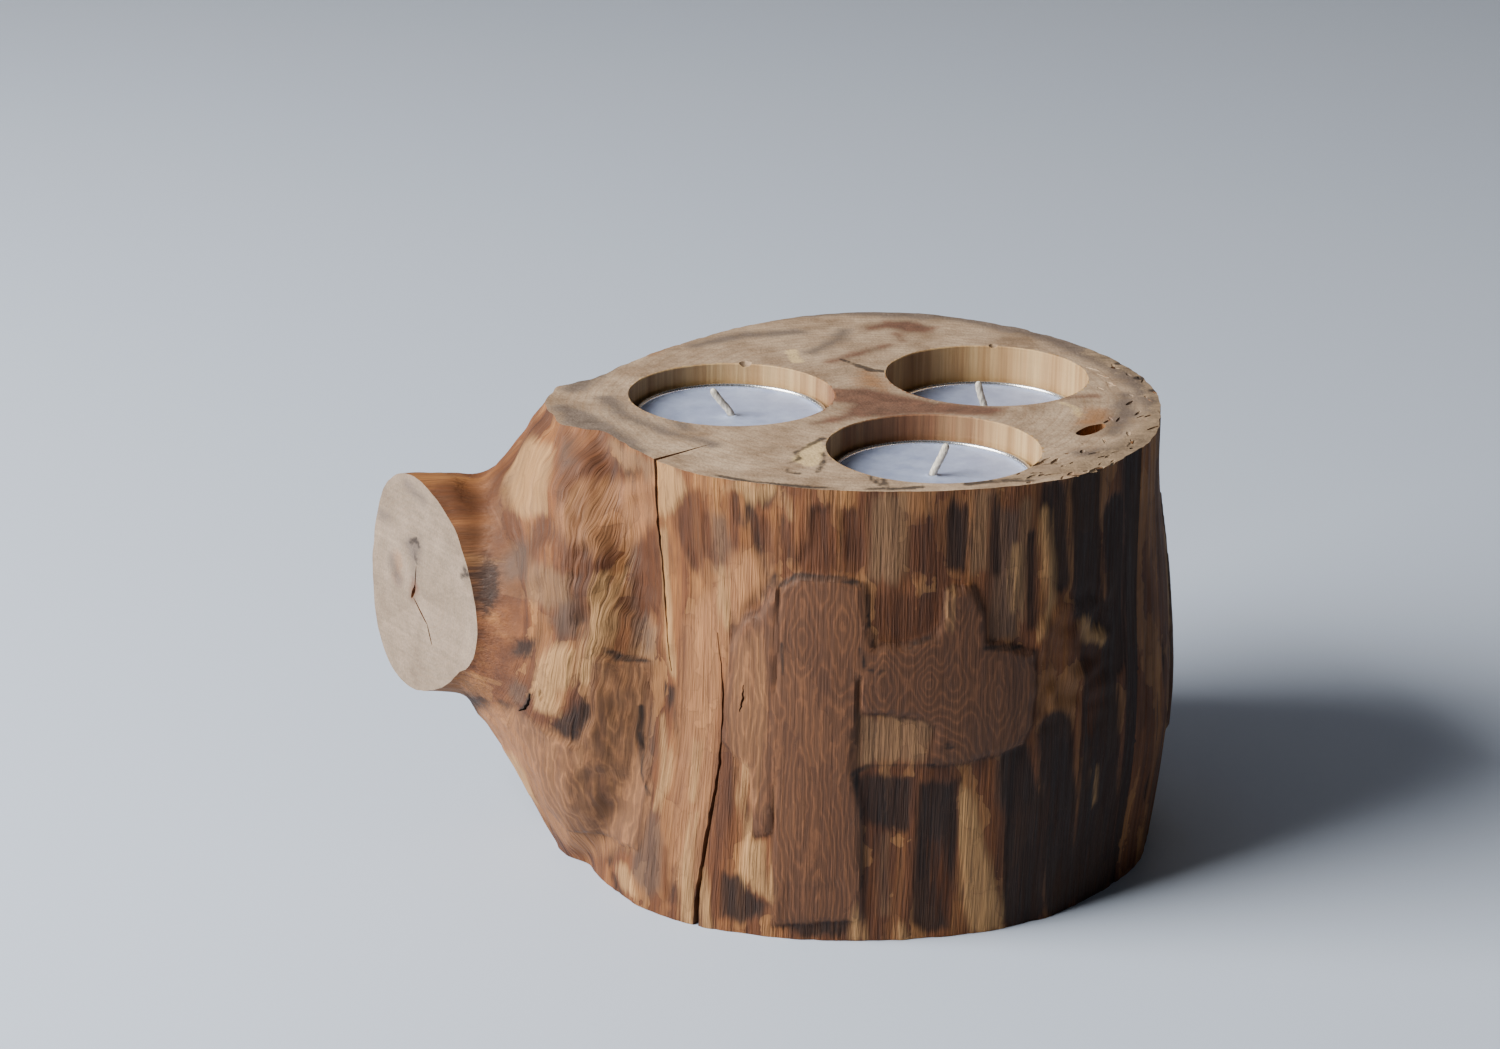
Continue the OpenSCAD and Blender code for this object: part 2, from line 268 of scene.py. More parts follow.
# Marks on the sawn top, in millimetres along X and Y
topMarks = {
    "black": [      # fungus lines along the front rim
        [(-31, -46, 0.4), (-28, -48, 0.6), (-24, -50, 0.6), (-20, -51, 0.4), (-15, -52.4, 0.7),
         (-9, -53, 0.5)],
        [(-3, -53.2, 0.6), (2, -53, 0.8), (7, -52, 0.5)],
        [(15, -50.2, 0.8), (19, -49, 0.7), (24, -48.3, 0.6), (28, -47.6, 0.3)],
        [(16, -49.4, 0.4), (20, -48, 0.5), (25, -46.8, 0.3)],
        [(-2.6, -44, 0.4), (-2, -48, 0.5), (-0.4, -51.5, 0.4)], [(0, -47, 0.4), (0.6, -52, 0.4)],
        [(-17, -42, 0.4), (-17.4, -44.5, 0.4), (-15, -45, 0.4)],
        [(-10.4, -25, 0.5), (-13, -29, 0.4), (-15.6, -33, 0.5), (-15, -37, 0.4), (-17, -39.5, 0.4)],
        [(-10.6, -33, 0.35), (-10.3, -37, 0.4), (-11.8, -44.5, 0.4)], [(53, 15, 1.4)], [(55, 7, 1.0)],
        [(50, 25, 0.9)], [(47, 29, 0.6)], [(-6, 26, 0.5), (-3, 22, 0.7), (0, 18.5, 1.0), (2.4, 18, 0.8)],
    ],
    "red": [      # reddish heart, and the stain of a knot
        [(-8.5, 6), (-1, 7), (5, 2.5), (12, -2), (25, -5), (23, -10), (12, -9), (6, -10), (1, -12),
         (-7, -12), (-5, -4), (-10, -1)],
        [(-1, 48.5), (4, 53), (9, 54), (14, 49), (13, 45), (8, 45), (4, 48), (0, 46)],
        [(6, 44, 0.8), (7, 39, 0.4)], [(36, 1.5, 0.5), (43, 3, 0.7)], [(8, -19, 1), (6, -10, 1.5)],
        [(-8, 24, 0.8), (-2, 30, 1.4), (4, 36, 0.8)], [(-12, -16, 0.8), (-6, -12, 1.6)],
    ],
    "orange": [
        [(41, -4), (45, -6), (45, -12), (41, -16), (38, -14), (40, -9)],
        [(-1.5, 17, 1.5), (0, 10, 2.5), (2, 6, 1)], [(34, -43, 1), (37, -46, 1)],
        [(-45, 30, 2), (-38, 41, 2)],
    ],
    "grey": [      # weathered bands near the rim
        [(-60, -8, 2.5), (-56, -16, 3.6), (-50, -25, 3.2), (-45, -33, 1.6)],
        [(-59, 4, 2.2), (-56, 14, 3.0), (-51, 26, 2.4)],
        [(-52, -2, 2.0), (-48, -13, 1.6), (-40, -22, 1.4), (-31, -29, 1.0)],
        [(-45, 44, 3), (-25, 55, 3), (-5, 60, 2.5), (20, 57, 3), (38, 43, 3.5), (50, 24, 4), (54, 8, 3),
         (55, -8, 2.5)],
        [(38, -32, 2), (46, -30, 3), (50, -22, 2)], [(-12, 30, 1), (-6, 40, 1.6), (-5, 46, 1)],
        [(-42, -6, 1.2), (-36, -20, 1.6)], [(-36, 34, 1.4), (-26, 42, 2.0), (-14, 45, 1.4)],
        [(44, -20, 1.6), (48, -8, 2.2), (49, 4, 1.4)],
    ],
    "pale": [
        [(-11, -26), (-13.5, -29), (-15, -33), (-16.5, -38), (-14, -41), (-12, -41), (-10.8, -36),
         (-10.2, -31)],
        [(36.5, -1.5, 0.4), (39, -5, 0.6), (39, -10, 0.4)], [(-15, 24, 1.2), (-16, 31, 1.0)],
    ],
    "rough": [      # crumbled bark edge on the right
        [(31, -44, 1.5), (40, -38, 3.5), (48, -29, 4.5), (54, -18, 4.0), (57, -6, 3.5), (57.5, 6, 3.5),
         (54, 18, 3.0), (46, 32, 2.5)],
        [(22, -47, 0.8), (31, -44, 1.5)],
    ],
}

# Marks on the branch's sawn face: millimetres to the right and up from its middle, seen from outside
stubMarks = {
    "black": [
        [(15.9, 9.0, 0.9), (17.0, 8.3, 0.8), (14.8, 7.6, 0.6)], [(13.4, 12, 0.5)],
        [(-4.4, 8.6, 0.5), (-2.4, 9.8, 0.7), (-1.2, 8.6, 0.5)], [(-2.8, 6.4, 0.6), (-2.4, 4.8, 0.5)],
    ],
    "red": [
        [(-4.6, -3.0, 0.9), (-3.2, -0.4, 0.8)],
    ],
    "orange": [
        [(-10.0, 2.4, 0.7), (-10.4, -0.7, 0.7)],
    ],
    "grey": [
        [(-7.4, 7.1), (-4.8, 9.3), (-0.4, 10.8), (-0.6, 7.5), (-1.4, 4.6), (-3.8, 4.4), (-5.7, 6.2)],
        [(-12, 2, 1.0), (-10, -1, 1.4)], [(-15.7, 10.9, 0.9), (-12.5, 11.3, 0.7)],
        [(-3, 1.5, 0.6), (-3.5, 4, 0.9)], [(-6, 20, 0.9), (1, 19, 0.7)],
    ],
    "pale": [],
    "rough": [],
}


def outlineDepth(u, v, outline):
    # how far inside a closed outline each point lies, in millimetres; negative outside
    inside = np.zeros(len(u), bool)
    nearest = np.full(len(u), 1e9)
    for (u1, v1), (u2, v2) in zip(outline, outline[1:] + outline[:1]):
        du, dv = u2 - u1, v2 - v1
        t = np.clip(((u - u1) * du + (v - v1) * dv) / (du * du + dv * dv), 0, 1)
        nearest = np.minimum(nearest, np.hypot(u - u1 - t * du, v - v1 - t * dv))
        crosses = (v1 > v) != (v2 > v)
        if dv:
            inside ^= crosses & (u < u1 + du * (v - v1) / dv)
    return np.where(inside, nearest, -nearest)


def strokeDepth(u, v, stroke):
    # the same for a stroke whose half-width changes along it
    deepest = np.full(len(u), -1e9)
    if len(stroke) == 1:
        stroke = stroke * 2
    for (u1, v1, w1), (u2, v2, w2) in zip(stroke, stroke[1:]):
        du, dv = u2 - u1, v2 - v1
        t = np.clip(((u - u1) * du + (v - v1) * dv) / max(du * du + dv * dv, 1e-9), 0, 1)
        deepest = np.maximum(deepest, w1 + t * (w2 - w1) - np.hypot(u - u1 - t * du, v - v1 - t * dv))
    return deepest


def markDepth(u, v, marks, reach=4):
    # the deepest of all the marks in one layer, kept within reach of their edges
    deepest = np.full(len(u), -float(reach))
    for mark in marks:
        depth = outlineDepth(u, v, mark) if len(mark[0]) == 2 else strokeDepth(u, v, mark)
        deepest = np.maximum(deepest, depth)
    return np.minimum(deepest, reach)


log = {
    "cell": 0.84,         # mm, size of the carved surface's cells
    "topCell": 0.76,      # mm, cells of the sawn faces
    "spare": 6.0,         # mm, how far the rough log runs past its saw cuts
    "plug": 0.4,          # mm, how far a plug runs into the wood round its well
    "carve": 1.15,        # mm, how far the drawknife went in, on the whole
    "facetRise": 0.8,     # mm, how far a facet stands above the wood round it
    "waves": 0.55,        # mm, how uneven the sides are over a few centimetres
    "strokes": 0.30,      # mm, how deep single strokes of the knife show
    "fibres": 0.22,       # mm, how far coarse fibres stand out
    "burr": (0.9, 0.6),   # mm, how rough the broken patch on the right is, small and large
    "branchDir": 186,     # degrees, direction of the branch
    "cutDir": 216,        # degrees, direction that its sawn face looks in
    "branchZ": 53,        # mm, height of that face's middle
    "branchOut": (70, 82),      # mm from the trunk's middle, where the branch's own grain takes over
    "branchWide": (60, 35),     # degrees to each side of the branch, the same
    "grainPost": 19,      # mm, radius of the knot that the trunk's grain parts round
    "grainFade": 70,      # degrees, how far round the trunk that is felt
    "girth": 57,          # mm, radius that the trunk's grain is unrolled at
    "wellGap": 1.0,       # mm, room round a tealight
    "pith": (2, -2),      # mm, where the rings of the trunk centre
    "backMarks": 95,      # marks drawn by chance on the side away from the front
    "backFacets": 9,      # facets among them
    "crumbs": 60,         # small chips out of the rim on the right, and near it
    "knobs": 0.8,         # mm, how uneven the collar of the branch is
    "seed": 11,
    "beyond": 0.14,       # m from the middle, farther out than any of its wood
}

cutWay = Vector((math.cos(math.radians(log["cutDir"])), math.sin(math.radians(log["cutDir"])), 0))
branchWay = Vector((math.cos(math.radians(log["branchDir"])), math.sin(math.radians(log["branchDir"])), 0))
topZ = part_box("log")[1].z
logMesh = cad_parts["log"].data
faceOut = max(v.co.dot(cutWay) for v in logMesh.vertices)       # how far out the branch's sawn face lies
facePoints = [v.co for v in logMesh.vertices if v.co.dot(cutWay) > faceOut - 0.05 * mm]
faceMiddle = (Vector([min(p[i] for p in facePoints) for i in range(3)])
              + Vector([max(p[i] for p in facePoints) for i in range(3)])) / 2
wells = {}                                                      # name: (middle on the floor, radius)
for side in ("left", "front", "rear"):
    low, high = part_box(side + "_cup")
    middle = Vector(((low.x + high.x) / 2, (low.y + high.y) / 2, low.z))
    wells[side] = (middle, (high.x - low.x) / 2 + log["wellGap"] * mm)


# A facet's outline, in shares of its width and of its height
facetOutline = [(0, 0), (0.55, -0.04), (1, 0.02), (1.05, 0.4), (0.96, 0.72), (0.8, 1), (0.45, 0.94),
                (0.2, 1.02), (-0.04, 0.6)]

# The kinds of mark on the back, as often as each comes
backKinds = ["dark"] * 5 + ["orange"] * 4 + ["pale"] * 5 + ["grey"] * 3 + ["ash"] * 2 + ["black"] * 2


def addBackMarks():
    # the back of the log takes marks of the same kinds and sizes, placed by chance
    chance = random.Random(log["seed"])
    for _ in range(log["backMarks"]):
        kind = chance.choice(backKinds)
        at, up = chance.uniform(-30, 180), chance.uniform(2, 86)
        long = chance.uniform(5, 26) * (0.5 if kind == "black" else 1)
        wide = chance.uniform(0.15, 0.35) if kind == "black" else chance.uniform(0.5, 2.4)
        lean = chance.uniform(-0.16, 0.16) * long
        sideMarks[kind].append([(at, up, wide * 0.4), (at + lean * 0.6, up + long * 0.55, wide),
                                (at + lean, up + long, wide * 0.3)])
    for _ in range(log["backFacets"]):
        at, up = chance.uniform(-20, 172), chance.uniform(2, 50)
        wide, tall = chance.uniform(8, 15), chance.uniform(20, 38)
        shake = [(chance.uniform(-0.08, 0.08), chance.uniform(-0.05, 0.05)) for _ in facetOutline]
        sideMarks["facet"].append([(at + wide * (x + dx), up + tall * (y + dy))
                                   for (x, y), (dx, dy) in zip(facetOutline, shake)])
        ringEyes.append((at + wide * 0.5, up + tall * chance.uniform(0.2, 0.5), 1.0, chance.uniform(4, 7)))


def roundTrunk(points):
    # direction in degrees from -30 to 330, and height in mm, of points in metres
    turn = np.degrees(np.arctan2(points[:, 1], points[:, 0])) % 360
    return np.where(turn > 330, turn - 360, turn), points[:, 2] / mm


def branchShare(points):
    # 0 on the trunk and its collar, 1 on the branch
    turn = np.degrees(np.arctan2(points[:, 1], points[:, 0])) % 360
    out = np.hypot(points[:, 0], points[:, 1]) / mm
    aside = np.abs(turn - log["branchDir"])
    return smoothStep(*log["branchOut"], out) * smoothStep(*log["branchWide"], aside)


def straightGrain(points):
    # where each point would lie if the trunk's grain ran straight: it parts round the branch, like water
    # round a post
    turn, height = roundTrunk(points)
    aside = (turn - log["branchDir"] + 180) % 360 - 180
    above = height - log["branchZ"]
    post = log["grainPost"] ** 2
    bend = post / np.maximum(aside ** 2 + above ** 2, 1.05 * post) * np.exp(-(aside / log["grainFade"]) ** 2)
    turn = np.radians(log["branchDir"] + aside * (1 - bend))
    height = log["branchZ"] + above * (1 + bend)
    return np.stack([log["girth"] * np.cos(turn), log["girth"] * np.sin(turn), height], 1) * mm


def alongGrain(points, across, along):
    # points squeezed along the grain, so that a noise on them runs in fibres: (on the trunk, on the branch)
    p = points / mm
    axis = np.array(branchWay)
    far = p @ axis
    squeezed = p - np.outer(far, axis) * (1 - across / along)
    return straightGrain(points) / mm / np.array([across, across, along]), squeezed / across


def fibreNoise(points, across, along, shift=0.0):
    trunk, branch = alongGrain(points, across, along)
    share = branchShare(points)
    return noiseAt(trunk + shift) * (1 - share) + noiseAt(branch + shift) * share


def roughLog():
    # the designed log with its wells plugged and its saw cuts pushed out, remeshed fine enough to carve
    work = bmesh.new()
    work.from_mesh(logMesh)
    bmesh.ops.remove_doubles(work, verts=work.verts, dist=0.01 * mm)
    spare = log["spare"] * mm
    up = Vector((0, 0, 1))
    cuts = [(up, topZ, up * spare), (-up, 0, -up * spare), (cutWay, faceOut, branchWay * spare)]
    for way, out, push in cuts:
        sawn = [f for f in work.faces if all(v.co.dot(way) > out - 0.05 * mm for v in f.verts)]
        for new in bmesh.ops.extrude_face_region(work, geom=sawn)["geom"]:
            if isinstance(new, bmesh.types.BMVert):
                new.co += push
    for middle, radius in wells.values():
        height = topZ + spare - middle.z + log["plug"] * mm
        bmesh.ops.create_cone(work, cap_ends=True, segments=64, depth=height,
                              radius1=radius + log["plug"] * mm, radius2=radius + log["plug"] * mm,
                              matrix=Matrix.Translation((middle.x, middle.y, topZ + spare - height / 2)))
    obj = place("log_wood", toMesh(work, "log_wood"))
    cells = obj.modifiers.new("cells", "REMESH")
    cells.mode = "VOXEL"
    cells.voxel_size = log["cell"] * mm
    bakeModifiers(obj)
    points = vertexTable(obj.data)
    beside = np.minimum(np.abs(points[:, 2] - topZ), np.abs(points @ np.array(cutWay) - faceOut)) / mm
    away = obj.vertex_groups.new(name="away_from_saw_cuts")
    for index, weight in enumerate(smoothStep(0.5, 6, beside)):
        away.add([index], weight, "REPLACE")
    soften = obj.modifiers.new("soften", "SMOOTH")
    soften.factor = 0.5
    soften.iterations = 14
    soften.vertex_group = away.name
    bakeModifiers(obj)
    return obj


def carveLog(obj):
    # the drawknife's facets, the fibres between them and the broken patches, as moves along the normals
    points = vertexTable(obj.data)
    normals = vertexTable(obj.data, "normal")
    turn, height = roundTrunk(points)
    depth = {name: markDepth(turn, height, sideMarks[name]) for name in ("facet", "dark", "orange", "pale")}
    ragged = fibreNoise(points, 1.6, 14)
    facet = smoothStep(-0.5, 0.45, depth["facet"] + 0.5 * ragged)
    burr = smoothStep(296, 304, turn) * smoothStep(324, 316, turn)          # a broken patch on the right
    burr = burr * smoothStep(36, 44, height) * smoothStep(70, 62, height)
    move = -log["carve"] + log["facetRise"] * facet
    move += log["waves"] * noiseAt(points / (22 * mm)) * (1 - 0.5 * facet)
    move += log["strokes"] * fibreNoise(points, 5, 46, 3.7) * (1 - 0.8 * facet)
    move += log["fibres"] * fibreNoise(points, 2.3, 26, 9.1) * (1 - 0.85 * facet)
    move -= 0.22 * smoothStep(-0.4, 0.6, depth["dark"] + ragged)
    move -= 0.15 * smoothStep(-0.4, 0.6, depth["orange"] + ragged)
    move += 0.18 * smoothStep(-0.4, 0.6, depth["pale"] + 0.5 * ragged) * (1 - facet)
    collar = smoothStep(48, 28, np.abs(turn - log["branchDir"])) * smoothStep(2, 30, height)
    move += collar * log["knobs"] * (noiseAt(points / (7 * mm)) + 0.5 * noiseAt(points / (3.4 * mm)))
    small, large = log["burr"]
    move += burr * (small * noiseAt(points / (3.2 * mm)) + large * noiseAt(points / (7 * mm)))
    # the branch runs clean up to its saw cut
    steady = smoothStep(9, 1, (faceOut - points @ np.array(cutWay)) / mm)
    move = move * (1 - 0.65 * steady) - 0.15 * steady
    points += normals * np.minimum(move, -0.05)[:, None] * mm
    obj.data.vertices.foreach_set("co", points.astype(np.float32).ravel())
    obj.data.update()


def cutAway(obj, cutters, name):
    # takes a bmesh's solids out of the log
    bmesh.ops.recalc_face_normals(cutters, faces=cutters.faces)
    tool = place(name, toMesh(cutters, name))
    cut = obj.modifiers.new(name, "BOOLEAN")
    cut.operation = "DIFFERENCE"
    cut.solver = "MANIFOLD"
    cut.object = tool
    bakeModifiers(obj)
    bpy.data.objects.remove(tool)


def sawBlock(work, at, way, across, high, cell):
    # a block whose face at the saw cut is a fine grid, faintly waved as a saw leaves it
    turn = way.to_track_quat("Z", "Y").to_matrix().to_4x4()
    grid = bmesh.ops.create_grid(work, x_segments=int(across / cell), y_segments=int(high / cell),
                                 size=0.5, matrix=Matrix.Diagonal((across, high, 1, 1)))["verts"]
    for v in grid:
        wave = noise.noise(Vector((v.co.x / (60 * mm), v.co.y / (3.4 * mm), 5)))
        v.co.z = 0.07 * mm * (wave - 1)
    faces = list({f for v in grid for f in v.link_faces})
    lid = bmesh.ops.extrude_face_region(work, geom=faces, use_keep_orig=True)["geom"]
    top = [e for e in lid if isinstance(e, bmesh.types.BMVert)]
    for v in top:
        v.co.z = 12 * mm
    bmesh.ops.transform(work, verts=grid + top, matrix=Matrix.Translation(at) @ turn)


def sawLog(obj):
    # the top, the branch and the foot, in this order
    blocks = bmesh.new()
    cell = log["topCell"] * mm
    sawBlock(blocks, Vector((-12 * mm, 2 * mm, topZ)), Vector((0, 0, 1)), 154 * mm, 134 * mm, cell)
    sawBlock(blocks, faceMiddle, cutWay, 52 * mm, 60 * mm, cell)
    sawBlock(blocks, Vector((-14 * mm, 0, 0)), Vector((0, 0, -1)), 170 * mm, 140 * mm, 4 * mm)
    cutAway(obj, blocks, "saw")


def boreWells(obj):
    # flat-bottomed bores, with the dimple and the groove that the bit leaves on the floor
    bores = bmesh.new()
    for middle, radius in wells.values():
        wide, rim = radius / mm, (topZ - middle.z) / mm
        profile = [(0, -1.6), (1.1, 0), (wide - 1.0, 0), (wide - 0.55, -0.25), (wide, -0.25)]
        profile += [(wide, rim * 0.33), (wide, rim * 0.66), (wide, rim - 0.25),
                    (wide + 0.3, rim + 0.05), (wide + 0.3, rim + 4), (0, rim + 4)]
        line = [bores.verts.new(middle + Vector((r * mm, 0, z * mm))) for r, z in profile]
        edges = [bores.edges.new(pair) for pair in zip(line, line[1:])]
        bmesh.ops.spin(bores, geom=line + edges, cent=middle, axis=(0, 0, 1), dvec=(0, 0, 0),
                       angle=math.tau, steps=128, use_merge=True)
    bmesh.ops.remove_doubles(bores, verts=bores.verts, dist=0.01 * mm)
    cutAway(obj, bores, "bores")


splits = {
    # drying cracks: direction, height, width and depth of each point, in degrees and mm
    "rimCrack": [(222.5, 93, 1.0, 16), (222.6, 88, 0.95, 14), (222.9, 83, 0.9, 12),
                 (223.6, 78, 0.8, 11), (224.8, 73, 0.75, 10), (225.5, 68, 0.65, 9), (226.2, 62, 0.5, 8),
                 (227.4, 56, 0.35, 6), (228.7, 50, 0.2, 4)],
    "footCrack": [(238.6, 60, 0.15, 3), (239.6, 54, 0.25, 5), (240, 48, 0.35, 7), (239.9, 41, 0.45, 8),
                  (239.4, 34, 0.55, 9), (238.6, 27, 0.65, 10), (237.6, 20, 0.75, 11),
                  (236.5, 12, 0.85, 12), (235.7, 5, 0.95, 13), (235.2, -3, 1.0, 13)],
    "shortCrack": [(244.4, 51, 0.15, 2), (244.4, 48.5, 0.4, 4), (244.1, 47, 0.4, 4),
                   (243.8, 45.5, 0.15, 2)],
    "wedge": [(204.4, 36.2, 0.3, 2), (205.4, 37, 0.8, 3.5), (206.5, 38.6, 1.0, 4), (207.2, 41, 0.4, 2)],
    "backCrack": [(92, 74, 0.2, 4), (92.6, 66, 0.5, 7), (91.8, 54, 0.6, 9), (92.8, 42, 0.4, 6),
                  (92.2, 34, 0.2, 4)],
    "backFoot": [(128.5, 46, 0.2, 4), (128, 34, 0.5, 8), (128.8, 20, 0.7, 10), (128.2, 8, 0.8, 11),
                 (128.4, -3, 0.9, 12)],
    "rightCrack": [(340.5, 84, 0.2, 4), (340, 74, 0.5, 6), (341, 62, 0.2, 4)],
}


def openSplits(obj):
    # each crack is a wedge, wide at the surface and sharp inside, with a slightly wandering edge
    surface = BVHTree.FromObject(obj, bpy.context.evaluated_depsgraph_get())
    wedges = bmesh.new()
    chance = random.Random(log["seed"] + 1)
    for path in splits.values():
        rings = []
        for point, after in zip(path, path[1:] + path[-1:]):
            steps = 4 if point != after else 1
            for k in range(steps):
                t = k / steps
                turn, height, width, deep = (a + t * (b - a) for a, b in zip(point, after))
                turn += chance.uniform(-0.12, 0.12)
                width *= chance.uniform(0.8, 1.2)
                out = Vector((math.cos(math.radians(turn)), math.sin(math.radians(turn)), 0))
                side = Vector((-out.y, out.x, 0))
                level = min(max(height, 2), topZ / mm - 2) * mm
                found = surface.ray_cast(out * log["beyond"] + Vector((0, 0, level)), -out)[0]
                face = Vector((found.x, found.y, height * mm))
                half = width / 2 * (1 + 2 / deep)
                over = face + out * 2 * mm
                corners = [over + side * half * mm, over - side * half * mm, face - out * deep * mm]
                rings.append([wedges.verts.new(c) for c in corners])
        loops = [[wedges.edges.new((ring[i], ring[i - 1])) for i in range(3)] for ring in rings]
        for loop, following in zip(loops, loops[1:]):
            bmesh.ops.bridge_loops(wedges, edges=loop + following)
        wedges.faces.new(rings[0])
        wedges.faces.new(rings[-1])
    cutAway(obj, wedges, "splits")


hollows = {
    # small pits: middle, half sizes across, along and deep in mm, and the turn about Z in degrees
    "twigKnot": ((-64.4, -37.0, 41.5), (1.9, 1.4, 2.6), 210),
    "barkPocket": ((40.5, -18, 90), (1.5, 4.6, 5.0), -38),
    "backKnot": ((20, 58.5, 34), (2.4, 3.2, 4.0), 70),
    "leftChip": ((-25.2, 22.4, 90.2), (1.3, 1.7, 1.0), 0),
    "rearChip": ((25.4, 36.4, 90.2), (1.0, 1.3, 0.8), 0),
    "rimChipOne": ((48.2, -33.0, 90.6), (1.3, 3.6, 1.2), -52),
    "rimChipTwo": ((39.5, -41.5, 90.5), (1.0, 3.0, 1.0), -40),
    "rimChipThree": ((57, 5, 90.5), (1.1, 3.2, 1.0), 6),
}


stubHollows = {
    # the same on the branch's sawn face: right and up from its middle, half sizes, and the roll in degrees
    "pith": ((-4.0, -1.8), (0.5, 1.7, 1.2), -29),
    "drySplit": ((-1.3, -5.1), (0.22, 3.4, 2.0), 51),
    "drySplitEnd": ((1.9, -8.9), (0.2, 2.2, 1.2), 24),
    "fineSplit": ((-3.0, 1.6), (0.16, 2.6, 1.0), -8),
}


def digHollows(obj):
    # the pits, as lumpy balls taken out of the wood
    surface = BVHTree.FromObject(obj, bpy.context.evaluated_depsgraph_get())
    pits = bmesh.new()
    faceTurn = Matrix((Vector((0, 0, 1)).cross(cutWay), Vector((0, 0, 1)), cutWay)).transposed().to_4x4()
    for (right, up), sizes, roll in stubHollows.values():
        shape = bmesh.ops.create_icosphere(pits, subdivisions=3, radius=mm)["verts"]
        spot = Matrix.Translation(faceMiddle) @ faceTurn @ Matrix.Translation((right * mm, up * mm, 0))
        bmesh.ops.transform(pits, verts=shape, matrix=spot @ Matrix.Rotation(math.radians(roll), 4, "Z")
                            @ Matrix.Diagonal((*sizes, 1)))
    for (x, y, z), (wide, long, deep), turn in hollows.values():
        shape = bmesh.ops.create_icosphere(pits, subdivisions=3, radius=mm)["verts"]
        for v in shape:
            v.co *= 1 + 0.22 * noise.noise(v.co / (0.9 * mm) + Vector((x, y, 0)))
        placeIt = Matrix.Translation(Vector((x, y, z)) * mm) @ Matrix.Rotation(math.radians(turn), 4, "Z")
        bmesh.ops.transform(pits, verts=shape, matrix=placeIt @ Matrix.Diagonal((wide, long, deep, 1)))
    chance = random.Random(log["seed"] + 2)
    for _ in range(log["crumbs"]):         # bark crumbled off the rim on the right
        turn = math.radians(chance.uniform(-62, 30))
        out = Vector((math.cos(turn), math.sin(turn), 0))
        rim = surface.ray_cast(out * log["beyond"] + Vector((0, 0, topZ - mm)), -out)[0]
        shape = bmesh.ops.create_icosphere(pits, subdivisions=2, radius=mm)["verts"]
        for v in shape:
            v.co *= 1 + 0.3 * noise.noise(v.co / (0.8 * mm) + rim / mm)
        spot = Vector((rim.x, rim.y, topZ)) - out * (11 * chance.random() ** 1.6 - 0.3) * mm
        sizes = (chance.uniform(0.2, 0.55), chance.uniform(0.4, 2.2), chance.uniform(0.25, 0.6))
        spin = Matrix.Rotation(turn + chance.uniform(-0.7, 0.7), 4, "Z")
        bmesh.ops.transform(pits, verts=shape,
                            matrix=Matrix.Translation(spot) @ spin @ Matrix.Diagonal((*sizes, 1)))
    cutAway(obj, pits, "pits")


def sortFaces(obj):
    # which finish each face takes, counted as makeLog lists them: 0 bark side, 1 sawn top, 2 sawn branch,
    # 3 bored well, 4 sawn foot
    mesh = obj.data
    count = len(mesh.polygons)
    middles = np.zeros(count * 3, np.float32)
    normals = np.zeros(count * 3, np.float32)
    mesh.polygons.foreach_get("center", middles)
    mesh.polygons.foreach_get("normal", normals)
    middles, normals = middles.reshape(-1, 3), normals.reshape(-1, 3)
    finish = np.zeros(count, np.int32)
    finish[(middles[:, 2] > topZ - 0.25 * mm) & (normals[:, 2] > 0.8)] = 1
    crumbled = (middles[:, 0] > 15 * mm) & (middles[:, 2] > topZ - 1.2 * mm)
    finish[crumbled & (normals[:, 2] > 0.2)] = 1
    finish[(middles @ np.array(cutWay) > faceOut - 0.3 * mm) & (normals @ np.array(cutWay) > 0.9)] = 2
    finish[(middles[:, 2] < 0.2 * mm) & (normals[:, 2] < -0.8)] = 4
    for middle, radius in wells.values():
        near = np.hypot(middles[:, 0] - middle.x, middles[:, 1] - middle.y)
        finish[(near < radius + 3 * mm) & (middles[:, 2] > topZ - 2 * mm)] = 1
        bored = (middles[:, 2] < topZ - 0.02 * mm) & (middles[:, 2] > middle.z - 3 * mm)
        finish[bored & (near < radius + 0.35 * mm)] = 3
    mesh.polygons.foreach_set("material_index", finish)
    mesh.polygons.foreach_set("use_smooth", np.ones(count, bool))
    mesh.set_sharp_from_angle(angle=math.radians(38))
    print("log:", count, "faces,", len(mesh.loop_triangles), "triangles")


def writeField(mesh, name, values):
    # one number for each vertex, which the materials read by its name
    field = mesh.attributes.new(name, "FLOAT", "POINT")
    field.data.foreach_set("value", values.astype(np.float32))


def paintLog(obj):
    # what the materials read: how deep each point lies in each mark, and the rings on the facets
    mesh = obj.data
    points = vertexTable(mesh)
    turn, height = roundTrunk(points)
    for name, marks in sideMarks.items():
        writeField(mesh, name, markDepth(turn, height, marks))
    near = 0
    for at, up, wide, tall in ringEyes:       # pointed, as rings are where a knife runs out through them
        aside, above = np.abs(turn - at) / wide, np.abs(height - up) / tall
        near = near + np.exp(-0.7 * (aside ** 1.35 + above ** 1.35) ** (1 / 1.35))
    writeField(mesh, "rings", np.minimum(-np.log(np.maximum(near, 1e-12)) / 0.7, 40))
    writeField(mesh, "branch", branchShare(points))
    grain = mesh.attributes.new("grain", "FLOAT_VECTOR", "POINT")
    grain.data.foreach_set("vector", straightGrain(points).astype(np.float32).ravel())
    x, y = points[:, 0] / mm, points[:, 1] / mm
    across = Vector((0, 0, 1)).cross(cutWay)
    offset = points - np.array(faceMiddle)
    right, up = offset @ np.array(across) / mm, offset[:, 2] / mm
    onStub = points @ np.array(cutWay) > faceOut - 0.6 * mm
    for name in topMarks:
        onTop = markDepth(x, y, topMarks[name])
        writeField(mesh, "end_" + name, np.where(onStub, markDepth(right, up, stubMarks[name]), onTop))


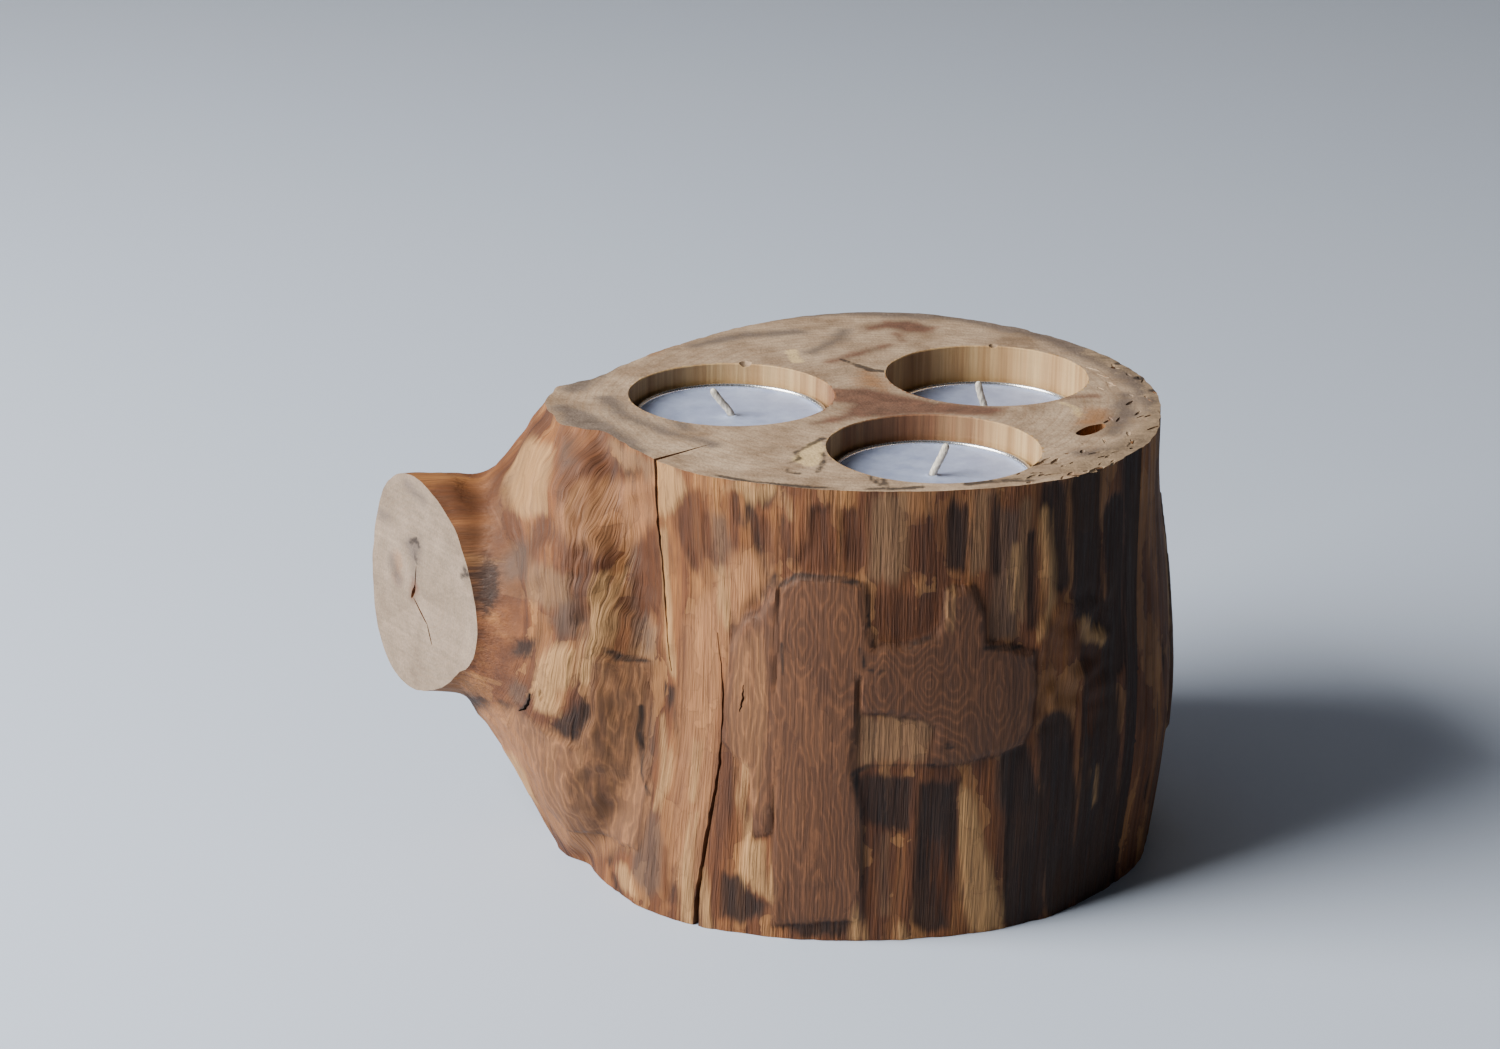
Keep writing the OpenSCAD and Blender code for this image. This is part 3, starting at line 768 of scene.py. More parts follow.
def fibrePattern(tree, across, along, detail=3.0, roughness=0.55):
    # noise drawn out along the grain of the trunk, and along the branch where that takes over; sizes in mm
    coords = add(tree, "TexCoord").outputs["Object"]
    grain = add(tree, "Attribute", attribute_name="grain").outputs["Vector"]
    up = add(tree, "Mapping", {"Vector": grain, "Scale": (1, 1, across / along)})
    lying = (0, math.radians(90), math.radians(log["branchDir"]))
    out = add(tree, "Mapping", {"Vector": coords, "Rotation": lying, "Scale": (1, 1, along / across)},
              vector_type="TEXTURE")
    settings = {"Scale": 1 / (across * mm), "Detail": detail, "Roughness": roughness}
    trunk = add(tree, "TexNoise", dict(settings, Vector=up.outputs[0]))
    branch = add(tree, "TexNoise", dict(settings, Vector=out.outputs[0]))
    share = add(tree, "Attribute", attribute_name="branch").outputs["Fac"]
    both = {0: share, 2: trunk.outputs[0], 3: branch.outputs[0]}
    return add(tree, "Mix", both, data_type="FLOAT").outputs[0]


def cover(tree, field, raggedness, soft, strength, grow=0.0):
    # 0 to 1: where a mark covers the wood, with its edge broken up by patterns (value, reach in mm)
    depth = add(tree, "Attribute", attribute_name=field).outputs["Fac"]
    depth = add(tree, "Math", {0: depth, 1: grow}).outputs[0]
    for pattern, reach in raggedness:
        shift = add(tree, "Math", {0: pattern, 1: reach, 2: -reach / 2}, operation="MULTIPLY_ADD")
        depth = add(tree, "Math", {0: depth, 1: shift.outputs[0]}).outputs[0]
    step = add(tree, "MapRange", {"Value": depth, "From Min": -soft, "From Max": soft, "To Max": strength},
               interpolation_type="SMOOTHSTEP")
    return step.outputs[0]


def stain(tree, share, under, darker, lighter, pattern):
    # a stain in two tones laid over a colour, where share says
    tone = add(tree, "Mix", {0: pattern, 6: darker, 7: lighter}, data_type="RGBA").outputs[2]
    return add(tree, "Mix", {0: share, 6: under, 7: tone}, data_type="RGBA").outputs[2]


def shade(tree, colour, pattern, low, high, spread=0.2):
    # the colour darkened and lightened by a pattern, from low to high
    tint = add(tree, "MapRange", {"Value": pattern, "From Min": 0.5 - spread, "From Max": 0.5 + spread,
                                  "To Min": low, "To Max": high}).outputs[0]
    return add(tree, "VectorMath", {0: colour, 3: tint}, operation="SCALE").outputs[0]


def newMaterial(name):
    material = bpy.data.materials.new(name)
    material.use_nodes = True
    tree = material.node_tree
    tree.nodes.clear()
    shader = add(tree, "BsdfPrincipled")
    add(tree, "OutputMaterial", {"Surface": shader.outputs[0]})
    return material, tree, shader


def scrapeFlakes(tree):
    # the small scrapes of the knife along the grain: one random tone for each, and the thin seams between
    grain = add(tree, "Attribute", attribute_name="grain").outputs["Vector"]
    drift = add(tree, "TexNoise", {"Vector": grain, "Scale": 1 / (5 * mm), "Detail": 3}).outputs["Color"]
    bent = add(tree, "VectorMath", {0: drift, 1: (6 * mm, 6 * mm, 12 * mm), 2: grain},
               operation="MULTIPLY_ADD").outputs[0]
    long = add(tree, "Mapping", {"Vector": bent, "Scale": (1, 1, 0.32)}).outputs[0]
    cells = {"Vector": long, "Scale": 1 / (4.5 * mm), "Randomness": 0.95}
    tones = add(tree, "TexVoronoi", cells).outputs["Color"]
    tone = add(tree, "SeparateColor", {0: tones}).outputs[0]
    edge = add(tree, "TexVoronoi", cells, feature="DISTANCE_TO_EDGE").outputs["Distance"]
    seam = add(tree, "MapRange", {"Value": edge, "From Max": 0.07, "To Min": 1, "To Max": 0}).outputs[0]
    return tone, seam


# How each kind of mark stains the bark side, from the lowest: dark and light colour, how many mm the streaks
# and the fibres break up its edge by, softness, strength, and how many mm wider it is than it was drawn
sideStains = [
    ("ash", "#5c412b", "#836547", 2.5, 4.0, 1.2, 0.75, 0),
    ("grey", "#2b1e18", "#5c483b", 2.5, 4.5, 1.4, 0.75, 0),
    # dark: stains, deepened with painted shade beside the branch's face and on the side away from the window
    ("dark", "#100704", "#2f180b", 2.2, 4.2, 1.0, 0.94, 0),
    ("orange", "#251004", "#5b3010", 3.0, 5.0, 1.4, 0.85, 0),
    ("facet", "#170b05", "#381d0e", 0.6, 2.2, 0.4, 0.62, 0.75),      # painted shade along the step down round a facet
    ("facet", "#5a3720", "#774e33", 0.5, 1.0, 0.6, 0.8, 0),
    # fair: paler tan wood, and a painted pool of light on the facet left of the branch
    ("fair", "#74492c", "#a0724a", 2.4, 4.0, 1.8, 0.74, 0),
    ("pale", "#84603a", "#ad875a", 2.6, 4.2, 1.1, 0.8, 0),
    # black: seams, and painted shade in undercuts and at the facets' edges
    ("black", "#0a0503", "#1b0f08", 0.4, 0.8, 0.35, 0.85, 0.12),
]


def drawknifedWood():
    # de-barked sapwood, scraped along the grain: dry and matt, tan between brown and cream fibre streaks,
    # with smooth pink-brown facets on which the growth rings close in long eyes
    material, tree, shader = newMaterial("drawknifed_sapwood")
    streaks = fibrePattern(tree, 4.5, 60, 4, 0.6)
    fibres = fibrePattern(tree, 0.9, 16, 3, 0.6)
    hairs = fibrePattern(tree, 0.45, 7, 2, 0.6)
    tone, seam = scrapeFlakes(tree)
    coords = add(tree, "TexCoord").outputs["Object"]
    clouds = add(tree, "TexNoise", {"Vector": coords, "Scale": 1 / (15 * mm), "Detail": 3}).outputs[0]
    browns = [(0.28, "#361b0b"), (0.42, "#532e15"), (0.52, "#693e1f"), (0.62, "#7d5029"), (0.76, "#96693a")]
    colour = add(tree, "ValToRGB", {0: streaks}, stops=browns).outputs[0]
    cloudCover = add(tree, "MapRange", {"Value": clouds, "From Min": 0.50, "From Max": 0.64,
                                        "To Max": 0.6}).outputs[0]
    colour = stain(tree, cloudCover, colour, "#3f2010", "#5d3519", fibres)
    flaky = add(tree, "MapRange", {"Value": tone, "From Min": 0.5, "From Max": 0.95,
                                   "To Max": 0.4}).outputs[0]
    colour = stain(tree, flaky, colour, "#7f5a35", "#9a7145", fibres)
    for field, darker, lighter, coarse, fine, soft, strength, grow in sideStains:
        share = cover(tree, field, [(streaks, coarse), (fibres, fine)], soft, strength, grow)
        colour = stain(tree, share, colour, darker, lighter, fibres)
        if field == "facet":
            facet = share
    colour = facetRings(tree, colour, facet)
    rough = add(tree, "MapRange", {"Value": facet, "To Min": 1, "To Max": 0.3}).outputs[0]
    seams = add(tree, "Math", {0: seam, 1: rough}, operation="MULTIPLY").outputs[0]
    seamShare = add(tree, "Math", {0: seams, 1: 0.16}, operation="MULTIPLY").outputs[0]
    colour = stain(tree, seamShare, colour, "#2a170d", "#4a2d1b", hairs)
    colour = shade(tree, colour, tone, 0.86, 1.1, 0.5)
    even = add(tree, "Math", {0: facet, 1: 0.9}, operation="MULTIPLY").outputs[0]
    calmHairs = add(tree, "Mix", {0: even, 2: hairs, 3: 0.5}, data_type="FLOAT").outputs[0]
    colour = shade(tree, colour, calmHairs, 0.78, 1.16)
    tree.links.new(colour, shader.inputs["Base Color"])
    dull = add(tree, "MapRange", {"Value": fibres, "From Min": 0.3, "From Max": 0.7,
                                  "To Min": 0.62, "To Max": 0.85}).outputs[0]
    smooth = add(tree, "Math", {0: facet, 1: -0.12, 2: dull}, operation="MULTIPLY_ADD").outputs[0]
    tree.links.new(smooth, shader.inputs["Roughness"])
    height = add(tree, "Math", {0: fibres, 1: 0.6, 2: hairs}, operation="MULTIPLY_ADD").outputs[0]
    height = add(tree, "Math", {0: tone, 1: 0.35, 2: height}, operation="MULTIPLY_ADD").outputs[0]
    height = add(tree, "Math", {0: height, 1: rough}, operation="MULTIPLY").outputs[0]
    bump = add(tree, "Bump", {"Height": height, "Strength": 0.9, "Distance": 0.35 * mm})
    tree.links.new(bump.outputs[0], shader.inputs["Normal"])
    shader.inputs["IOR"].default_value = 1.5
    shader.inputs["Specular IOR Level"].default_value = 0.35
    return material


def facetRings(tree, colour, facet):
    # thin pale ring lines on a facet, rather less than a millimetre apart
    rings = add(tree, "Attribute", attribute_name="rings").outputs["Fac"]
    coords = add(tree, "TexCoord").outputs["Object"]
    stretch = add(tree, "Mapping", {"Vector": coords, "Scale": (1, 1, 0.5)}).outputs[0]
    wander = add(tree, "TexNoise", {"Vector": stretch, "Scale": 1 / (3.2 * mm), "Detail": 3}).outputs[0]
    finer = add(tree, "Math", {0: rings, 1: 1.05}, operation="MULTIPLY").outputs[0]
    path = add(tree, "Math", {0: wander, 1: 2.6, 2: finer}, operation="MULTIPLY_ADD").outputs[0]
    year = add(tree, "Math", {0: path}, operation="FRACT").outputs[0]
    early = [(0.0, "#c8c8c8"), (0.35, "#b4b4b4"), (0.6, "#d0d0d0"), (0.82, "#ffffff"), (1.0, "#c8c8c8")]
    line = add(tree, "ValToRGB", {0: year}, stops=early).outputs[0]
    lined = {0: facet, 6: colour, 7: line}
    return add(tree, "Mix", lined, data_type="RGBA", blend_type="MULTIPLY").outputs[2]


# The same for the sawn ends: dark and light colour, how many mm the clouds and the fungus break up the edge
# by, softness, strength
endStains = {
    "end_pale": ("#b99c6c", "#cfb88c", 2.0, 2.5, 0.6, 0.8),
    "end_orange": ("#68401f", "#946539", 5.0, 7.0, 2.4, 0.7),
    "end_grey": ("#251d1a", "#766860", 5.0, 7.0, 1.8, 0.85),
    "end_red": ("#1f0c06", "#774f3d", 4.0, 5.0, 1.8, 0.9),
    "end_rough": ("#070403", "#b09678", 3.0, 12.0, 1.2, 0.8),
    "end_black": ("#0e0a08", "#2c211d", 1.4, 2.6, 0.4, 0.85),
}


def sawnEnd(name, centre, tilt, pale, dark, ringGap, ringShare):
    # end grain straight off the saw: pale and dry, with faint rings round the pith, stains and saw lines
    material, tree, shader = newMaterial(name)
    coords = add(tree, "TexCoord").outputs["Object"]
    face = add(tree, "Mapping", {"Vector": coords, "Location": centre, "Rotation": tilt},
               vector_type="TEXTURE").outputs[0]
    warp = add(tree, "TexNoise", {"Vector": face, "Scale": 1 / (30 * mm), "Detail": 2}).outputs[0]
    apart = add(tree, "SeparateXYZ", {0: face})
    flat = add(tree, "CombineXYZ", {0: apart.outputs[0], 1: apart.outputs[1]}).outputs[0]
    radius = add(tree, "VectorMath", {0: flat}, operation="LENGTH").outputs["Value"]
    bent = add(tree, "Math", {0: warp, 1: 9 * mm, 2: radius}, operation="MULTIPLY_ADD").outputs[0]
    count = add(tree, "Math", {0: bent, 1: 1 / (ringGap * mm)}, operation="MULTIPLY").outputs[0]
    number = add(tree, "Math", {0: count}, operation="FLOOR").outputs[0]
    year = add(tree, "TexNoise", {"W": number, "Scale": 1.7}, noise_dimensions="1D").outputs[0]
    grown = add(tree, "Math", {0: count}, operation="FRACT").outputs[0]
    line = add(tree, "MapRange", {"Value": grown, "From Min": 0.45, "From Max": 0.97, "To Max": ringShare},
               interpolation_type="SMOOTHSTEP").outputs[0]
    line = add(tree, "Math", {0: line, 1: year}, operation="MULTIPLY").outputs[0]
    clouds = add(tree, "TexNoise", {"Vector": face, "Scale": 1 / (12 * mm), "Detail": 5,
                                    "Roughness": 0.65}).outputs[0]
    fungus = add(tree, "TexNoise", {"Vector": face, "Scale": 1 / (4 * mm), "Detail": 5,
                                    "Roughness": 0.7}).outputs[0]
    pores = add(tree, "TexNoise", {"Vector": face, "Scale": 1 / (0.55 * mm), "Detail": 2}).outputs[0]
    sweep = add(tree, "Mapping", {"Vector": face, "Rotation": (0, 0, math.radians(24)),
                                  "Scale": (0.03, 1, 1)}).outputs[0]
    sawLines = add(tree, "TexNoise", {"Vector": sweep, "Scale": 1 / (0.9 * mm), "Detail": 2}).outputs[0]
    cloudy = add(tree, "MapRange", {"Value": clouds, "From Min": 0.35, "From Max": 0.65}).outputs[0]
    colour = add(tree, "Mix", {0: cloudy, 6: dark, 7: pale}, data_type="RGBA").outputs[2]
    colour = stain(tree, line, colour, "#6d5138", "#8a6c4e", fungus)
    for field, (darker, lighter, coarse, fine, soft, strength) in endStains.items():
        share = cover(tree, field, [(clouds, coarse), (fungus, fine)], soft, strength)
        tone = pores if field in ("end_pale", "end_black") else fungus
        colour = stain(tree, share, colour, darker, lighter, tone)
    colour = shade(tree, colour, fungus, 0.84, 1.12)
    colour = shade(tree, colour, pores, 0.84, 1.06)
    colour = shade(tree, colour, sawLines, 0.92, 1.06)
    tree.links.new(colour, shader.inputs["Base Color"])
    dull = add(tree, "MapRange", {"Value": pores, "To Min": 0.68, "To Max": 0.9}).outputs[0]
    tree.links.new(dull, shader.inputs["Roughness"])
    height = add(tree, "Math", {0: sawLines, 1: 0.8, 2: pores}, operation="MULTIPLY_ADD").outputs[0]
    bump = add(tree, "Bump", {"Height": height, "Strength": 0.6, "Distance": 0.2 * mm})
    tree.links.new(bump.outputs[0], shader.inputs["Normal"])
    shader.inputs["IOR"].default_value = 1.5
    shader.inputs["Specular IOR Level"].default_value = 0.35
    return material


def boredWood():
    # the walls of the wells: cut clean along the grain, which shows as upright bands, redder near the heart
    material, tree, shader = newMaterial("bored_wood")
    coords = add(tree, "TexCoord").outputs["Object"]
    upright = add(tree, "Mapping", {"Vector": coords, "Scale": (1, 1, 0.03)}).outputs[0]
    bands = add(tree, "TexNoise", {"Vector": upright, "Scale": 1 / (3.6 * mm), "Detail": 4,
                                   "Roughness": 0.6}).outputs[0]
    fibres = add(tree, "TexNoise", {"Vector": upright, "Scale": 1 / (0.6 * mm), "Detail": 3,
                                    "Roughness": 0.6}).outputs[0]
    tans = [(0.3, "#84643e"), (0.46, "#a08058"), (0.6, "#b1946a"), (0.75, "#92714a")]
    colour = add(tree, "ValToRGB", {0: bands}, stops=tans).outputs[0]
    pithX, pithY = log["pith"]
    around = add(tree, "Mapping", {"Vector": coords, "Location": (pithX * mm, pithY * mm, 0),
                                   "Scale": (1, 1, 1000)}, vector_type="TEXTURE").outputs[0]
    far = add(tree, "VectorMath", {0: around}, operation="LENGTH").outputs["Value"]
    uneven = add(tree, "Math", {0: bands, 1: 16 * mm, 2: far}, operation="MULTIPLY_ADD").outputs[0]
    heart = add(tree, "MapRange", {"Value": uneven, "From Min": 19 * mm, "From Max": 33 * mm,
                                   "To Min": 0.85, "To Max": 0}).outputs[0]
    colour = stain(tree, heart, colour, "#4f2a1b", "#7c4f38", fibres)
    chatter = add(tree, "Mapping", {"Vector": coords, "Scale": (0.1, 0.1, 1)}).outputs[0]
    rings = add(tree, "TexNoise", {"Vector": chatter, "Scale": 1 / (0.9 * mm), "Detail": 1}).outputs[0]
    colour = shade(tree, colour, fibres, 0.82, 1.08)
    tree.links.new(colour, shader.inputs["Base Color"])
    dull = add(tree, "MapRange", {"Value": fibres, "To Min": 0.55, "To Max": 0.8}).outputs[0]
    tree.links.new(dull, shader.inputs["Roughness"])
    height = add(tree, "Math", {0: rings, 1: 0.7, 2: fibres}, operation="MULTIPLY_ADD").outputs[0]
    bump = add(tree, "Bump", {"Height": height, "Strength": 0.5, "Distance": 0.15 * mm})
    tree.links.new(bump.outputs[0], shader.inputs["Normal"])
    shader.inputs["IOR"].default_value = 1.5
    return material


def makeLog():
    addBackMarks()
    obj = roughLog()
    print("log: rough shape done")
    carveLog(obj)
    sawLog(obj)
    boreWells(obj)
    print("log: sawn and bored")
    openSplits(obj)
    digHollows(obj)
    pithX, pithY = log["pith"]
    heart, foot = (pithX * mm, pithY * mm, topZ), (pithX * mm, pithY * mm, 0)
    stubHeart = faceMiddle - Vector((0, 0, 2 * mm))
    level, tilt = (0, 0, 0), Euler((math.radians(90), 0, math.radians(log["cutDir"] + 90)))
    finishes = [
        drawknifedWood(),
        sawnEnd("sawn_end_grain", heart, level, "#ae9880", "#7c6651", 1.7, 0.5),
        sawnEnd("sawn_branch_end", stubHeart, tilt, "#8d7c6c", "#766657", 1.3, 0.2),
        boredWood(),
        sawnEnd("sawn_foot", foot, level, "#9c866c", "#7f6850", 1.7, 0.6),
    ]
    obj.data.materials.clear()
    for finish in finishes:
        obj.data.materials.append(finish)
    sortFaces(obj)
    paintLog(obj)
    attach(obj, "log")
    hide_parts("log")
    print("log: painted")


makeLog()


tealight = {
    "foil": 0.3,          # mm, as thick as the cup's wall is drawn
    "bead": 0.9,          # mm, height and width of the rolled rim
    "corner": 1.5,        # mm, round between floor and wall
    "waxDrop": 0.9,       # mm, from the rim down to the wax
    "climb": 0.35,        # mm, how far the wax climbs the cup's wall and the wick
    "wick": 0.8,          # mm, radius of the wick
    "wickOut": 7.0,       # mm, length of wick out of the wax
    "bend": 1.6,          # mm of wick that its bend takes
    "strands": 4,         # strands in the wick, which show as lobes
    "twist": 1.1,         # radians that they turn in a millimetre
    "wickRings": 60,      # steps along the wick
    "flutes": 64,         # folds round the foil
    "tab": 6.0,           # mm, radius of the wick tab
    "neck": 1.1,          # mm, radius of its neck
    "tabTop": 4.1,        # mm, height of its neck above the table side of the cup
    # how each wick leans: degrees from upright, and which way
    "leans": {"left": (35, 180), "front": (20, 0), "rear": (13, 180)},
}


def spun(profile, middle, steps, closed=True):
    # a profile of (radius, height) in mm, spun about the tealight's own axis
    work = bmesh.new()
    line = [work.verts.new(middle + Vector((r * mm, 0, z * mm))) for r, z in profile]
    pairs = list(zip(line, line[1:] + line[:1])) if closed else list(zip(line, line[1:]))
    edges = [work.edges.new(pair) for pair in pairs]
    bmesh.ops.spin(work, geom=line + edges, cent=middle, axis=(0, 0, 1), dvec=(0, 0, 0),
                   angle=math.tau, steps=steps, use_merge=True)
    bmesh.ops.remove_doubles(work, verts=work.verts, dist=0.002 * mm)
    bmesh.ops.recalc_face_normals(work, faces=work.faces)
    for face in work.faces:
        face.smooth = True
    return work


def arc(x, z, r, start, end, steps):
    # points on an arc round (x, z), from one angle to another in degrees
    turns = [math.radians(start + (end - start) * i / steps) for i in range(steps + 1)]
    return [(x + r * math.cos(t), z + r * math.sin(t)) for t in turns]


def makeCup(side, middle, radius, height):
    # the foil cup: a floor raised in the middle, a fluted wall and a rolled rim; sizes in mm
    foil, bead, corner = tealight["foil"], tealight["bead"], tealight["corner"]
    wall = radius - bead + foil
    outside = [(0, 0.25), (6.5, 0.25), (7.0, 0), (wall - 3.2, 0), (wall - 2.6, 0.12)]
    outside += arc(wall - corner, corner, corner, -80, 0, 6) + [(wall, height - bead - 0.4)]
    rim = arc(radius - bead / 2, height - bead / 2, bead / 2, -110, 180, 14)
    inside = arc(wall - corner, corner, corner - foil, 0, -80, 6)
    inside += [(wall - 2.6, 0.12 + foil), (wall - 3.2, foil)]
    inside += [(7.2, foil), (6.7, 0.25 + foil), (0, 0.25 + foil)]
    work = spun(outside + rim + inside, middle, 128, closed=False)
    for v in work.verts:       # foil is never quite round: fine flutes below the rim, and a wave in the wall
        flat = Vector((v.co.x - middle.x, v.co.y - middle.y, 0))
        turn = math.atan2(flat.y, flat.x)
        high = (v.co.z - middle.z) / mm
        if flat.length > (wall - 1.0) * mm and 1 < high < height - bead:
            flute = 0.5 + 0.5 * math.cos(tealight["flutes"] * turn)
            wave = noise.noise(Vector((flat.x, flat.y, v.co.z)) / (9 * mm))
            v.co -= flat.normalized() * max(0.05 * flute + 0.05 * wave, 0) * mm
    return place(side + "_foil_cup", toMesh(work, side + "_foil_cup"))


def makeWax(side, middle, radius, height):
    # the paraffin fills the cup round the wick and its tab
    foil, climb, corner = tealight["foil"], tealight["climb"], tealight["corner"]
    inner = radius - tealight["bead"]                        # the inside of the cup's wall
    top = height - tealight["waxDrop"]
    bore, tab, neck = tealight["wick"] + 0.02, tealight["tab"] + 0.1, tealight["neck"] + 0.06
    surface = [(bore, top + climb), (bore + 0.35, top + climb * 0.45), (bore + 0.9, top + 0.05)]
    for r in (2.5, 3.5, 5, 6.5, 8, 9.5, 11, 12.5, 14, 15.3, 16.3):       # dished a little where it shrank
        surface.append((r, top - 0.10 * math.sin(math.pi * (r - 1.8) / (inner - 1.8))))
    surface += [(inner - 1.0, top + 0.02), (inner - 0.45, top + climb * 0.3)]
    surface += [(inner - 0.15, top + climb * 0.7), (inner, top + climb)]
    below = [(inner, corner + 0.6)] + arc(inner - corner + foil, corner + 0.3, corner - foil, 0, -90, 5)
    below += [(tab, foil + 0.3), (tab, 0.75), (neck, 0.75)]
    below += [(neck, tealight["tabTop"] + 0.05), (bore, tealight["tabTop"] + 0.05)]
    work = spun(surface + below, middle, 96)
    for v in work.verts:       # the surface set unevenly
        if v.co.z > middle.z + (top - 0.3) * mm:
            v.co.z += 0.07 * mm * noise.noise(Vector((v.co.x, v.co.y, 3)) / (6 * mm))
    return place(side + "_paraffin", toMesh(work, side + "_paraffin"))


def makeWick(side, middle, height):
    # four strands twisted together, stiff with wax: upright in the wax, bent over just above it
    lean, way = (math.radians(a) for a in tealight["leans"][side])
    leanTo = Vector((math.cos(way), math.sin(way), 0))
    thick, out = tealight["wick"], tealight["wickOut"]
    top = height - tealight["waxDrop"]
    work = bmesh.new()
    ring = bmesh.ops.create_circle(work, cap_ends=True, segments=24, radius=mm)["verts"]
    edges = list({e for v in ring for e in v.link_edges})
    start, steps = tealight["foil"] + 0.35, tealight["wickRings"]
    total = top - start + out - 0.15
    spot, along = Vector((0, 0, start)), 0.0
    for step in range(steps + 1):
        if step:
            geom = bmesh.ops.extrude_edge_only(work, edges=edges)["geom"]
            ring = [g for g in geom if isinstance(g, bmesh.types.BMVert)]
            edges = [g for g in geom if isinstance(g, bmesh.types.BMEdge)]
        go = total / steps if step else 0
        along += go
        tilt = lean * min(max((along + start - top) / tealight["bend"], 0), 1)
        tilt += 0.10 * math.sin((along + start - top) * 0.55) * (1 if along + start > top else 0)
        heading = leanTo * math.sin(tilt) + Vector((0, 0, math.cos(tilt)))
        spot = spot + heading * go
        turn = Vector((0, 0, 1)).rotation_difference(heading).to_matrix().to_4x4()
        frayed = 1 - 0.55 * max(0, 1 - (total - along) / 0.8) ** 2           # narrower at its tip
        for i, v in enumerate(ring):
            around = math.tau * i / len(ring)
            twisted = tealight["strands"] * (around - tealight["twist"] * along)
            lobe = 1 - 0.10 * (0.5 - 0.5 * math.cos(twisted))
            uneven = 0.93 + 0.07 * noise.noise(Vector((around, along * 0.6, 2)))
            width = thick * lobe * frayed * uneven
            edge = Vector((math.cos(around) * width, math.sin(around) * width, 0))
            v.co = middle + (spot + turn @ edge) * mm
    bmesh.ops.contextual_create(work, geom=edges)
    bmesh.ops.recalc_face_normals(work, faces=work.faces)
    for face in work.faces:
        face.smooth = len(face.verts) == 4
    return place(side + "_braided_wick", toMesh(work, side + "_braided_wick"))


def pressedAluminium():
    # bright aluminium foil, deep-drawn: a soft mirror with faint upright draw lines
    material, tree, shader = newMaterial("deep_drawn_aluminium")
    coords = add(tree, "TexCoord").outputs["Object"]
    upright = add(tree, "Mapping", {"Vector": coords, "Scale": (1, 1, 0.05)}).outputs[0]
    drawn = add(tree, "TexNoise", {"Vector": upright, "Scale": 1 / (0.4 * mm), "Detail": 3}).outputs[0]
    crumple = add(tree, "TexNoise", {"Vector": coords, "Scale": 1 / (5 * mm), "Detail": 3}).outputs[0]
    colour = add(tree, "Mix", {0: crumple, 6: "#cfd2d6", 7: "#e6e8ea"}, data_type="RGBA").outputs[2]
    tree.links.new(colour, shader.inputs["Base Color"])
    rough = add(tree, "MapRange", {"Value": drawn, "To Min": 0.16, "To Max": 0.36}).outputs[0]
    tree.links.new(rough, shader.inputs["Roughness"])
    height = add(tree, "Math", {0: crumple, 1: 1.5, 2: drawn}, operation="MULTIPLY_ADD").outputs[0]
    bump = add(tree, "Bump", {"Height": height, "Strength": 0.35, "Distance": 0.1 * mm})
    tree.links.new(bump.outputs[0], shader.inputs["Normal"])
    shader.inputs["Metallic"].default_value = 1.0
    return material


def castParaffin():
    # white paraffin, poured: slightly see-through and satin, with faint frosting where it set; its colour is
    # painted greyish blue, as the shade it sits in down the well
    material, tree, shader = newMaterial("cast_paraffin")
    coords = add(tree, "TexCoord").outputs["Object"]
    frost = add(tree, "TexNoise", {"Vector": coords, "Scale": 1 / (3.5 * mm), "Detail": 6,
                                   "Roughness": 0.7}).outputs[0]
    ripple = add(tree, "TexNoise", {"Vector": coords, "Scale": 1 / (1.1 * mm), "Detail": 2}).outputs[0]
    share = add(tree, "MapRange", {"Value": frost, "From Min": 0.35, "From Max": 0.65}).outputs[0]
    # the white wax darkened to greyish blue: painted shade from the well's walls, tinted blue for the sky
    # light
    colour = add(tree, "Mix", {0: share, 6: "#8994b3", 7: "#9fabc6"}, data_type="RGBA").outputs[2]
    tree.links.new(colour, shader.inputs["Base Color"])
    rough = add(tree, "MapRange", {"Value": frost, "To Min": 0.32, "To Max": 0.55}).outputs[0]
    tree.links.new(rough, shader.inputs["Roughness"])
    bump = add(tree, "Bump", {"Height": ripple, "Strength": 0.25, "Distance": 0.1 * mm})
    tree.links.new(bump.outputs[0], shader.inputs["Normal"])
    shader.inputs["IOR"].default_value = 1.44
    shader.inputs["Subsurface Weight"].default_value = 0.25
    shader.inputs["Subsurface Radius"].default_value = (1.0, 0.9, 0.8)
    shader.inputs["Subsurface Scale"].default_value = 1.5 * mm
    return material


def waxedCotton():
    # bleached cotton braid soaked in wax: off-white, with the twist of the strands showing
    material, tree, shader = newMaterial("waxed_cotton_braid")
    coords = add(tree, "TexCoord").outputs["Object"]
    slope = math.radians(35)
    slant = add(tree, "Mapping", {"Vector": coords, "Rotation": (slope, slope, 0),
                                  "Scale": (1, 1, 0.25)}).outputs[0]
    threads = add(tree, "TexNoise", {"Vector": slant, "Scale": 1 / (0.3 * mm), "Detail": 3}).outputs[0]
    share = add(tree, "MapRange", {"Value": threads, "From Min": 0.35, "From Max": 0.65}).outputs[0]
    colour = add(tree, "Mix", {0: share, 6: "#a09b91", 7: "#d2cec4"}, data_type="RGBA").outputs[2]
    tree.links.new(colour, shader.inputs["Base Color"])
    bump = add(tree, "Bump", {"Height": threads, "Strength": 0.6, "Distance": 0.12 * mm})
    tree.links.new(bump.outputs[0], shader.inputs["Normal"])
    rough = add(tree, "MapRange", {"Value": threads, "To Min": 0.45, "To Max": 0.75}).outputs[0]
    tree.links.new(rough, shader.inputs["Roughness"])
    shader.inputs["IOR"].default_value = 1.5
    return material


